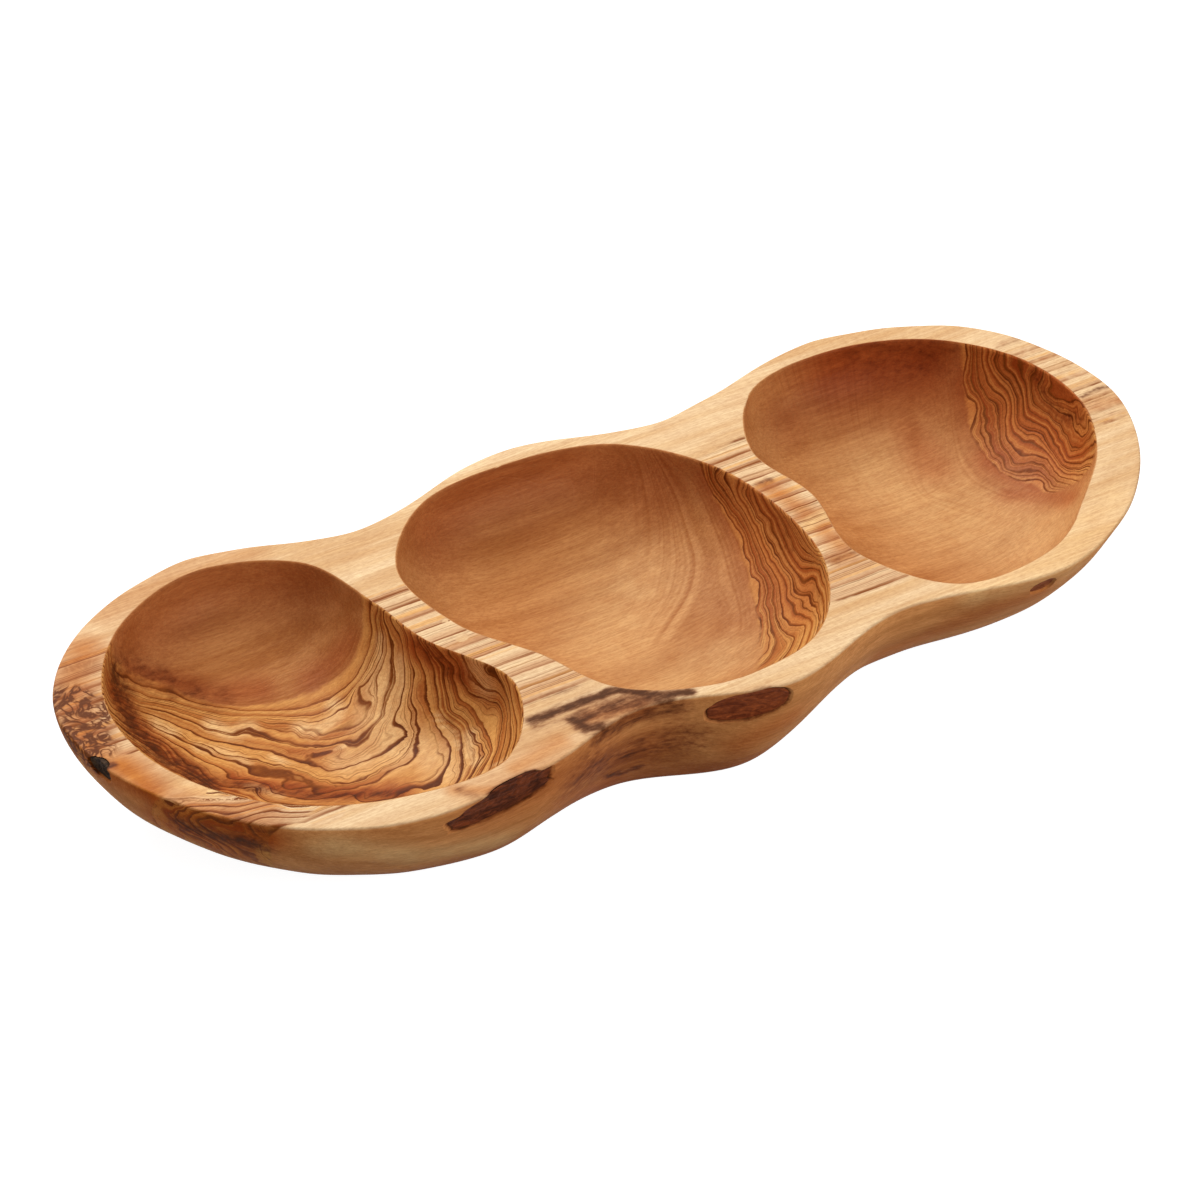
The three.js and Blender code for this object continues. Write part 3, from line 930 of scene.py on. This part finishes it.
# Heartwood reddening, and painted shade: bowl walls that face away from the key light are made darker and
# more saturated
RED_AND_SHADE_STROKES = [
    ([(980, 380), (1020, 420), (1060, 460)], 30, 1.0),
    ([(990, 358), (1040, 375), (1075, 405)], 24, 1.0),
    ([(1000, 455), (1045, 478), (1080, 450)], 18, 1.0),
    ([(1085, 405), (1118, 398)], 6, 0.5),
    ([(1010, 492), (1070, 498)], 9, 0.7),
    ([(712, 480), (750, 530), (785, 600)], 15, 0.8),
    ([(745, 492), (785, 530), (808, 580), (800, 615)], 14, 0.75),
    ([(112, 690), (140, 730), (180, 765), (225, 790)], 10, 0.9),
    ([(235, 780), (320, 794), (400, 792)], 9, 1.0),
    ([(290, 752), (320, 754), (342, 748)], 3, 0.6),
    ([(412, 645), (440, 660), (455, 670)], 10, 1.0),
    ([(418, 690), (416, 740)], 5, 0.35),
    # Painted shade on the back walls of the bowls and the right bowl's left wall, which face away from
    # the key light
    ([(840, 365), (920, 360)], 38, 1.0),
    ([(790, 420), (850, 370)], 20, 0.5),
    ([(430, 530), (470, 490), (560, 470), (660, 480)], 26, 0.6),
    ([(130, 640), (200, 585), (300, 580)], 26, 0.5),
    ([(130, 670), (185, 685), (215, 695), (260, 690)], 10, 0.7),
    ([(350, 640), (335, 660), (310, 680)], 9, 0.6),
    ([(84, 650), (72, 680), (74, 700), (84, 740), (120, 775)], 14, 0.85),
    ([(105, 615), (170, 574), (240, 552)], 14, 0.35),
    ([(120, 765), (140, 780), (155, 800)], 13, 1.0),
    ([(190, 815), (230, 808), (270, 806)], 7, 0.8),
    ([(170, 812), (220, 822), (265, 838)], 13, 1.0),
    ([(170, 825), (230, 850)], 20, 0.9),
    ([(500, 800), (600, 765), (640, 750)], 24, 0.5),
    ([(455, 790), (490, 790)], 6, 0.7),
    ([(835, 560), (850, 555)], 5, 0.9),
    ([(760, 484), (766, 482)], 3, 0.8),
    ([(590, 716), (640, 703)], 8, 0.6),
    ([(515, 768), (560, 742)], 8, 0.7),
    ([(880, 655), (960, 622), (1040, 592)], 11, 0.45),
    ([(740, 745), (790, 718)], 12, 0.5),
    ([(560, 800), (610, 780)], 12, 0.5),
    ([(895, 365), (905, 420), (930, 465)], 16, 0.6),
    ([(520, 520), (560, 500), (610, 480)], 18, 0.3),
    ([(115, 690), (135, 735), (190, 770), (260, 795)], 9, 0.4),
    ([(770, 488), (800, 508), (842, 545)], 8, 0.8),
]
ARC_STROKES = [
    ([(705, 480), (728, 560), (735, 620)], 14, 0.7),
    ([(655, 470), (690, 560), (680, 620)], 18, 0.6),
    ([(940, 350), (945, 430), (960, 470), (1000, 492)], 10, 0.22),
    ([(905, 360), (918, 440), (950, 500)], 16, 0.16),
    ([(355, 640), (330, 672), (290, 692), (230, 700)], 6, 0.6),
    ([(800, 370), (860, 400)], 20, 0.25),
]
# Lighter wood of the figure, and painted light: the lit bowl floors and the front of the flank and rim
# are made paler, and highlights are painted on the bowls' edges
PALE_AND_LIT_STROKES = [
    ([(300, 728), (315, 731), (330, 722), (340, 712), (333, 705)], 4.6, 1.0),
    ([(385, 680), (380, 720), (395, 750)], 15, 0.8),
    ([(350, 762), (420, 745), (450, 772)], 11, 0.7),
    ([(158, 724), (172, 732)], 4.5, 0.8),
    ([(212, 726), (230, 734), (250, 728)], 5, 1.0),
    ([(200, 748), (225, 752), (245, 762)], 4, 0.7),
    ([(250, 785), (262, 790), (280, 797)], 2.5, 0.6),
    ([(381, 640), (380, 665), (378, 690), (372, 704)], 4, 0.8),
    ([(400, 660), (401, 690), (396, 715), (390, 740)], 4, 0.7),
    ([(470, 735), (470, 755), (476, 762)], 4, 1.0),
    ([(437, 715), (443, 728), (455, 737), (458, 750)], 1.8, 0.9),
    ([(272, 757), (285, 763)], 2.6, 0.8),
    ([(338, 748), (352, 743)], 2, 0.9),
    ([(478, 668), (485, 685)], 7, 0.55),
    # Painted light: the front floors of the middle and right bowls, lit by the key light, are made paler
    ([(640, 600), (620, 640)], 40, 0.5),
    ([(660, 690), (720, 660)], 22, 0.5),
    ([(900, 480), (960, 520), (1040, 540)], 40, 0.5),
    # Painted highlights along the rounded front-right edges of the left and middle bowls
    ([(480, 774), (510, 755), (528, 730)], 1.2, 1.0),
    ([(812, 640), (826, 612), (833, 590), (828, 570)], 1.0, 0.8),
    ([(180, 786), (215, 793)], 4, 1.0),
    # Painted light on the flank under the left bowl's front
    ([(330, 848), (420, 857), (500, 842)], 11, 0.75),
    ([(800, 530), (815, 520), (828, 513)], 5, 1.0),
    # Painted light on the front of the right end's rim
    ([(980, 590), (1060, 560), (1115, 500)], 12, 0.6),
]

growth, richness = growth_fields()
unseen = unseen_walls()
swirl = smooth_step(SWIRL_GAIN * nearness(FRONT_LEFT_SWIRL, SWIRL_REACH) - SWIRL_START)
fields = {
    "growth": growth,
    "richness": richness,
    "rim": smooth_step((dish_points[:, 2] - RIM_HEIGHT + RIM_BAND) / RIM_BLEND) * ~in_bowl,
    "bowl": in_bowl.astype(float),
    "row_grain": np.maximum(~in_bowl * (1 - swirl), unseen),
    "burl": painted(BURL_STROKES),
    # The next three fields carry stains with painted shade, heartwood reddening with painted shade, and
    # lighter wood with painted light
    "stain_and_painted_shade": np.maximum(painted(STAIN_AND_SHADE_STROKES), bark_edges()),
    "redness_and_painted_shade": np.maximum(painted(RED_AND_SHADE_STROKES), UNSEEN_REDNESS * unseen),
    "paleness_and_painted_light": painted(PALE_AND_LIT_STROKES),
    "arcs": painted(ARC_STROKES),
}
for name, values in fields.items():
    attribute = dish.data.attributes.new(name, "FLOAT", "POINT")
    attribute.data.foreach_set("value", values.astype(np.float32))

# Materials


def srgb(red, green, blue):
    """Colour written as in an image, 0 to 255, as Blender's linear values."""
    shares = np.array([red, green, blue]) / 255
    linear = np.where(shares <= 0.04045, shares / 12.92, ((shares + 0.055) / 1.055) ** 2.4)
    return (*linear, 1)


COLOUR_MIX_SOCKETS = ("Factor_Float", "A_Color", "B_Color")


class Graph:
    """Shader nodes of a material or world, written briefly: each call adds a node."""

    def __init__(self, owner):
        owner.use_nodes = True
        self.owner = owner
        self.tree = owner.node_tree

    def feed(self, socket, value):
        if isinstance(value, bpy.types.NodeSocket):
            self.tree.links.new(value, socket)
        else:
            socket.default_value = value

    def fill(self, node, inputs):
        """Sets a node's inputs, by values or by other nodes' outputs, and gives its outputs."""
        for name, value in inputs.items():
            self.feed(node.inputs[name], value)
        return node.outputs

    def math(self, operation, *values):
        node = self.tree.nodes.new("ShaderNodeMath")
        node.operation = operation
        return self.fill(node, dict(enumerate(values)))[0]

    def times(self, first, second):
        return self.math("MULTIPLY", first, second)

    def plus(self, first, second, share=1.0):
        """First value plus a share of the second."""
        return self.math("MULTIPLY_ADD", second, share, first)

    def vector_math(self, operation, first, second):
        node = self.tree.nodes.new("ShaderNodeVectorMath")
        node.operation = operation
        return self.fill(node, {0: first, 1: second})

    def scaled(self, vector, factors):
        return self.vector_math("MULTIPLY", vector, factors)["Vector"]

    def dot(self, vector, towards):
        return self.vector_math("DOT_PRODUCT", vector, towards)["Value"]

    def ramp(self, value, low, high, least=0.0, most=1.0):
        """Smooth rise of a value between two limits, from least to most."""
        node = self.tree.nodes.new("ShaderNodeMapRange")
        node.interpolation_type = "SMOOTHSTEP"
        limits = {"From Min": low, "From Max": high, "To Min": least, "To Max": most}
        return self.fill(node, {"Value": value, **limits})["Result"]

    def between(self, share, first, second):
        """First value where the share is 0, second where it is 1."""
        node = self.tree.nodes.new("ShaderNodeMapRange")
        return self.fill(node, {"Value": share, "To Min": first, "To Max": second})["Result"]

    def attribute(self, name):
        node = self.tree.nodes.new("ShaderNodeAttribute")
        node.attribute_name = name
        return node.outputs["Fac"]

    def noise(self, vector, size, detail=2.0, roughness=0.5, distortion=0.0):
        """Noise whose features have about that size in millimetres, from 0 to 1."""
        node = self.tree.nodes.new("ShaderNodeTexNoise")
        inputs = {"Vector": vector, "Scale": 1 / size, "Detail": detail}
        return self.fill(node, {**inputs, "Roughness": roughness, "Distortion": distortion})["Fac"]

    def line_noise(self, value, detail=1.0):
        """Noise along one value, from 0 to 1."""
        node = self.tree.nodes.new("ShaderNodeTexNoise")
        node.noise_dimensions = "1D"
        return self.fill(node, {"W": value, "Scale": 1, "Detail": detail})["Fac"]

    def chance(self, value):
        """A number from 0 to 1 for each whole number of a value, without order."""
        node = self.tree.nodes.new("ShaderNodeTexWhiteNoise")
        node.noise_dimensions = "1D"
        return self.fill(node, {"W": self.math("FLOOR", value)})["Value"]

    def mix(self, share, first, second, blend="MIX"):
        node = self.tree.nodes.new("ShaderNodeMix")
        node.data_type = "RGBA"
        node.blend_type = blend
        sockets = {socket.identifier: socket for socket in [*node.inputs, *node.outputs]}
        for name, value in zip(COLOUR_MIX_SOCKETS, (share, first, second)):
            self.feed(sockets[name], value)
        return sockets["Result_Color"]

    def layered(self, colour, *layers):
        """A colour with others laid over it in turn, each with its share and maybe its blend."""
        for share, *over in layers:
            colour = self.mix(share, colour, *over)
        return colour

    def shown(self):
        """1 for rays from the camera and for those mirrored or let through, 0 for light itself."""
        path = self.tree.nodes.new("ShaderNodeLightPath").outputs
        direct = self.math("MAXIMUM", path["Is Camera Ray"], path["Is Glossy Ray"])
        return self.math("MAXIMUM", direct, path["Is Transmission Ray"])


class Surface(Graph):
    """A material of the dish, which knows each point's place in millimetres."""

    def __init__(self, name):
        super().__init__(bpy.data.materials.new(name))
        where = self.tree.nodes.new("ShaderNodeTexCoord").outputs["Object"]
        self.place = self.scaled(where, (1 / MM, 1 / MM, 1 / MM))

    def finish(self, colour, roughness, height, depth, specular):
        """Sets the surface: colour, roughness and a bump of that depth in millimetres."""
        bump = self.tree.nodes.new("ShaderNodeBump")
        normal = self.fill(bump, {"Distance": depth * MM, "Height": height})["Normal"]
        looks = {"Base Color": colour, "Roughness": roughness, "Normal": normal}
        self.fill(self.tree.nodes["Principled BSDF"], {**looks, "Specular IOR Level": specular})
        return self.owner


FINE_LINES_PER_LEVEL = 9.3
MINOR_LINES_PER_LEVEL = 3.2
ROW_LINE_PITCH = 6.5  # between two levels of growth on the rim and the flanks, in millimetres

# Share of a noise's stretch along the row: the smaller, the longer it runs
ALONG_LINES = (0.4, 1, 1)
ALONG_SWAY = (0.5, 1, 1)
ALONG_FIBRE = (0.035, 1, 1)
ALONG_STREAK = (0.05, 0.7, 0.7)
ALONG_PORES = (0.22, 1, 1)
ALONG_BARK = (0.3, 1, 1)
ALONG_BARK_FIBRE = (0.15, 1, 1)
ACROSS_ROW = (0, 0.94, 0.34)
UPWARDS = (0, 0, 1)

CREAM = srgb(246, 217, 170)
CREAM_STREAK = srgb(226, 184, 130)
TAN = srgb(207, 145, 86)
TAN_STREAK = srgb(172, 104, 48)
FLANK = srgb(232, 164, 98)
GOLD = srgb(230, 170, 94)
AMBER = srgb(186, 108, 46)
GILT = srgb(238, 180, 100)
BROWN = srgb(170, 96, 40)
DEEP = srgb(140, 76, 24)
LINE = srgb(100, 50, 14)
HEART_LINE = srgb(128, 60, 18)
RED = srgb(200, 112, 40)
HONEY = srgb(214, 148, 62)
DARK_STAIN_AND_SHADE = srgb(70, 38, 16)
FLAME = srgb(216, 138, 68)
PALE = srgb(252, 212, 148)


def growth_lines(wood, level, per_level, sharp, fade):
    """Lines along the levels, sharp on one side and fading on the other, and a number for each."""
    lines = wood.times(level, per_level)
    step = wood.math("FRACT", lines)
    rise = wood.ramp(step, 0, sharp)
    fall = wood.ramp(step, sharp, fade, 1, 0)
    return wood.times(rise, fall), wood.chance(lines)


def line_set(wood, level, minor_share):
    """Shares of dark lines, their feathered sides, fine lines, brown bands and golden bands."""
    along = wood.scaled(wood.place, ALONG_LINES)
    broken = wood.ramp(wood.noise(along, 11), 0.32, 0.6, 0.45, 1)
    width = wood.ramp(wood.noise(along, 13, 1), 0.36, 0.64, 0.16, 0.37)
    width = wood.plus(wood.plus(width, 0.25), minor_share, -0.25)
    core, chance = growth_lines(wood, level, 1, 0.07, width)
    minor, minor_chance = growth_lines(wood, level, MINOR_LINES_PER_LEVEL, 0.12, 0.5)
    fine, fine_chance = growth_lines(wood, level, FINE_LINES_PER_LEVEL, 0.3, 0.7)
    feather, _ = growth_lines(wood, level, 1, 0.05, 0.8)
    core = wood.times(core, wood.ramp(chance, 0, 0.6, 0.6, 1))
    minor = wood.times(minor, wood.ramp(minor_chance, 0.3, 0.9, 0, 0.7))
    minor = wood.times(minor, minor_share)
    core = wood.times(wood.math("MAXIMUM", core, minor), broken)
    fine = wood.times(fine, wood.ramp(fine_chance, 0.4, 0.95, 0, 0.7))
    band = wood.ramp(wood.line_noise(wood.times(level, 1.1)), 0.45, 0.68)
    gilt = wood.ramp(wood.line_noise(wood.math("MULTIPLY_ADD", level, 1.9, 7)), 0.55, 0.7)
    return core, feather, fine, band, gilt


def olive_wood(name, specular, smooth, rough):
    """The dish's wood. Noises have sizes in millimetres, ramps have limits and then results."""
    wood = Surface(name)
    place = wood.place
    rim = wood.attribute("rim")
    richness = wood.attribute("richness")
    burl = wood.attribute("burl")

    # Growth lines: picked ones in the bowls, and lines along the row on the rim and the flanks
    across = wood.math("DIVIDE", wood.dot(place, ACROSS_ROW), ROW_LINE_PITCH)
    growth = wood.attribute("growth")
    rich = wood.ramp(wood.plus(richness, wood.noise(place, 5), 4), 1.5, 4)
    sway = wood.plus(wood.noise(wood.scaled(place, ALONG_SWAY), 9, 1), wood.noise(place, 4, 0), 0.25)
    sway = wood.plus(wood.plus(sway, -0.68), wood.noise(wood.scaled(place, ALONG_LINES), 1.1), 0.06)
    meander = wood.plus(wood.noise(place, 17, 0), -0.5)
    reddened_and_shaded = wood.attribute("redness_and_painted_shade")
    meander = wood.times(meander, reddened_and_shaded)
    wildness = wood.plus(1, reddened_and_shaded, 0.6)
    wildness = wood.times(wildness, wood.ramp(rim, 0, 1, 1, 0.3))
    sway = wood.times(sway, wood.times(rich, wildness))
    bowl = wood.attribute("bowl")
    picked = line_set(wood, wood.plus(wood.plus(growth, sway), meander, 4), bowl)
    rows = line_set(wood, wood.plus(across, sway, 0.6), 1)
    curls = wood.math("ABSOLUTE", wood.plus(wood.noise(place, 6.5, 2, 0.5, 1.8), -0.5))
    curls = wood.times(wood.ramp(curls, 0.01, 0.2, 1, 0), wood.ramp(burl, 0.1, 0.6))
    row_grain = wood.attribute("row_grain")
    core, feather, fine, band, gilt = (wood.between(row_grain, *pair) for pair in zip(picked, rows))
    core = wood.times(core, wood.ramp(row_grain, 0, 1, 1, 0.46))

    # Grain along the row, in the plain wood and under the figure
    fibre = wood.noise(wood.scaled(place, ALONG_FIBRE), 1.0, 4, 0.65)
    streak = wood.ramp(wood.noise(wood.scaled(place, ALONG_STREAK), 6, 3, 0.6), 0.32, 0.68)
    mottle = wood.noise(place, 30, 2)
    patchy = wood.ramp(wood.noise(place, 8), 0.3, 0.6, 0.7, 1)
    pale_and_lit = wood.times(wood.attribute("paleness_and_painted_light"), patchy)

    # Plain wood: sapwood on the rim, heartwood in the bowls
    sap = wood.mix(streak, CREAM, CREAM_STREAK)
    heart = wood.mix(wood.times(streak, mottle), TAN, TAN_STREAK)
    outside = wood.mix(wood.times(streak, 0.5), FLANK, TAN_STREAK)
    soft = wood.ramp(wood.line_noise(wood.times(growth, 3.6), 2), 0.4, 0.64)
    redness_and_painted_shade = wood.times(reddened_and_shaded, wood.ramp(bowl, 0, 1, 0.95, 0.8))
    red = wood.mix(bowl, HONEY, RED)
    plain = wood.layered(
        wood.mix(bowl, outside, heart),
        (rim, sap),
        # lighter wood, and painted light where the key light falls
        (wood.times(pale_and_lit, 0.8), PALE),
        (wood.times(soft, wood.plus(0.06, wood.attribute("arcs"))), TAN_STREAK),
        # heartwood reddening, and painted shade on walls that face away from the key light
        (redness_and_painted_shade, red, "MULTIPLY"),
    )

    # Figured wood
    flame = wood.times(gilt, wood.times(redness_and_painted_shade, wood.ramp(bowl, 0, 1, 0, 0.9)))
    figured = wood.layered(
        wood.mix(rim, GOLD, CREAM),
        (wood.times(band, wood.ramp(rim, 0, 1, 0.85, 0.42)), AMBER),
        (wood.times(feather, wood.ramp(rim, 0, 1, 0.8, 0.5)), AMBER),
        (wood.times(gilt, 0.65), GILT),
        # heartwood reddening, and painted shade on walls that face away from the key light
        (wood.times(redness_and_painted_shade, 0.9), red, "MULTIPLY"),
        (flame, FLAME),
        # lighter wood, and painted light and highlights
        (pale_and_lit, PALE),
        (fine, DEEP),
        (wood.ramp(core, 0, 0.5), DEEP),
        (wood.ramp(core, 0.3, 0.95), wood.mix(redness_and_painted_shade, LINE, HEART_LINE)),
    )

    # Both together, with curls, pores, painted shade at the foot and stains that also hold painted shade
    pores = wood.noise(wood.scaled(place, ALONG_PORES), 0.5, 2, 0.7)
    height = wood.dot(place, UPWARDS)
    # Painted shade: the flank outside the bowls darkens towards the floor, where contact shade falls
    painted_foot_shade = wood.times(wood.ramp(height, 0, 18, 0.65, 0), wood.ramp(bowl, 0, 1, 1, 0))
    stain_and_painted_shade = wood.attribute("stain_and_painted_shade")
    blotch = wood.plus(wood.noise(wood.scaled(place, ALONG_LINES), 2.2, 3, 0.65), -0.5)
    ragged = wood.plus(stain_and_painted_shade, wood.times(blotch, wood.ramp(stain_and_painted_shade, 0, 0.3)), 1.1)
    colour = wood.layered(
        wood.mix(rich, plain, figured),
        (wood.times(curls, 0.75), DEEP),
        (wood.ramp(curls, 0.6, 1, 0, 0.9), LINE),
        (wood.ramp(fibre, 0.35, 0.75, 0.26, 0), BROWN, "MULTIPLY"),
        (wood.ramp(pores, 0.3, 0.62, 0.24, 0), BROWN, "MULTIPLY"),
        (painted_foot_shade, BROWN, "MULTIPLY"),
        # Stains and painted shade: darker wood, then the dark stain colour where strongest
        (wood.ramp(ragged, 0.05, 1, 0, 0.85), DEEP, "MULTIPLY"),
        (wood.ramp(ragged, 0.45, 1.05, 0, 0.9), DARK_STAIN_AND_SHADE),
    )

    roughness = wood.ramp(fibre, 0.3, 0.7, rough, smooth)
    relief = wood.plus(fibre, core, -0.5)
    return wood.finish(colour, roughness, relief, 0.12, specular)


def bark_material(name, light, dark):
    bark = Surface(name)
    along = bark.scaled(bark.place, ALONG_BARK)
    relief = bark.noise(along, 2.2, 5, 0.65, 0.8)
    colour = bark.mix(bark.ramp(relief, 0.35, 0.65), dark, light)
    fine = bark.noise(bark.scaled(bark.place, ALONG_BARK_FIBRE), 0.7, 3)
    colour = bark.mix(bark.ramp(fine, 0.4, 0.7, 0.5, 0), colour, dark)
    return bark.finish(colour, bark.ramp(relief, 0.3, 0.7, 0.75, 0.55), relief, 0.5, 0.08)


def face_is_flank():
    """Which faces of the dish lie outside its rim and bowls: these are sanded, but not oiled."""
    middles = vectors(dish.data.polygons, "center") / MM
    outer = surface_at(middles, vectors(dish.data.polygons, "normal"), BOWL_EDGE_RADIUS) == 0
    return outer & (middles[:, 2] < RIM_HEIGHT - OUTER_EDGE_RADIUS * EDGE_SHARE)


def dress(piece, material):
    piece.data.materials.clear()
    piece.data.materials.append(material)
    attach(piece, "root")


bark = bark_material("bark", srgb(168, 84, 40), srgb(100, 42, 18))
dress(dish, olive_wood("olive_wood", 0.07, 0.42, 0.54))
dish.data.materials.append(olive_wood("olive_wood_flank", 0.05, 0.6, 0.7))
dish.data.polygons.foreach_set("material_index", face_is_flank().astype(np.int32))
dress(middle_bark, bark)
dress(waist_bark, bark_material("shaded_bark", srgb(134, 64, 30), srgb(62, 27, 13)))
dress(end_bark, bark_material("dark_bark", srgb(90, 66, 44), srgb(36, 24, 18)))
dress(pin_knot, bark_material("knot_wood", srgb(172, 98, 58), srgb(114, 58, 32)))

# Stage: white floor and world, and soft studio light from the back and above

FLOOR_SIDE = 8
FLOOR_GLOW = 0.94
FLOOR_GREY = 0.33
SKY = 0.4
KEY_POWER = 51
KEY_PLACE = Vector((-0.15, 1.5, 1.8))
KEY_SIDE = 1.4
FILL_POWER = 12.5
FILL_PLACE = Vector((0.7, -1.4, 0.9))
FILL_SIDE = 1.0


def white_floor():
    white = Graph(bpy.data.materials.new("floor_white"))
    nodes = white.tree.nodes
    nodes.clear()
    grey = {"Color": (FLOOR_GREY, FLOOR_GREY, FLOOR_GREY, 1)}
    diffuse = white.fill(nodes.new("ShaderNodeBsdfDiffuse"), grey)[0]
    strength = white.times(white.shown(), FLOOR_GLOW)
    glow = white.fill(nodes.new("ShaderNodeEmission"), {"Strength": strength})[0]
    both = white.fill(nodes.new("ShaderNodeAddShader"), {0: diffuse, 1: glow})[0]
    white.fill(nodes.new("ShaderNodeOutputMaterial"), {"Surface": both})
    return white.owner


def white_world():
    studio = Graph(bpy.data.worlds.new("studio"))
    strength = studio.between(studio.shown(), SKY, 1)
    studio.fill(studio.tree.nodes["Background"], {"Color": (1, 1, 1, 1), "Strength": strength})
    return studio.owner


def lamp(name, place, side, power):
    data = bpy.data.lights.new(name, "AREA")
    data.shape = "SQUARE"
    data.size = side
    data.energy = power
    made = scene_object(name, data)
    made.location = place
    made.rotation_euler = (-place).to_track_quat("-Z", "Y").to_euler()


half = FLOOR_SIDE / 2
floor_mesh = bpy.data.meshes.new("floor")
floor_corners = [(-half, -half, 0), (half, -half, 0), (half, half, 0), (-half, half, 0)]
floor_mesh.from_pydata(floor_corners, [], [(0, 1, 2, 3)])
floor_mesh.materials.append(white_floor())
floor = scene_object("floor", floor_mesh)
bpy.context.scene.world = white_world()
lamp("key_light", KEY_PLACE, KEY_SIDE, KEY_POWER)
lamp("fill_light", FILL_PLACE, FILL_SIDE, FILL_POWER)
bpy.context.scene.view_settings.view_transform = "Standard"
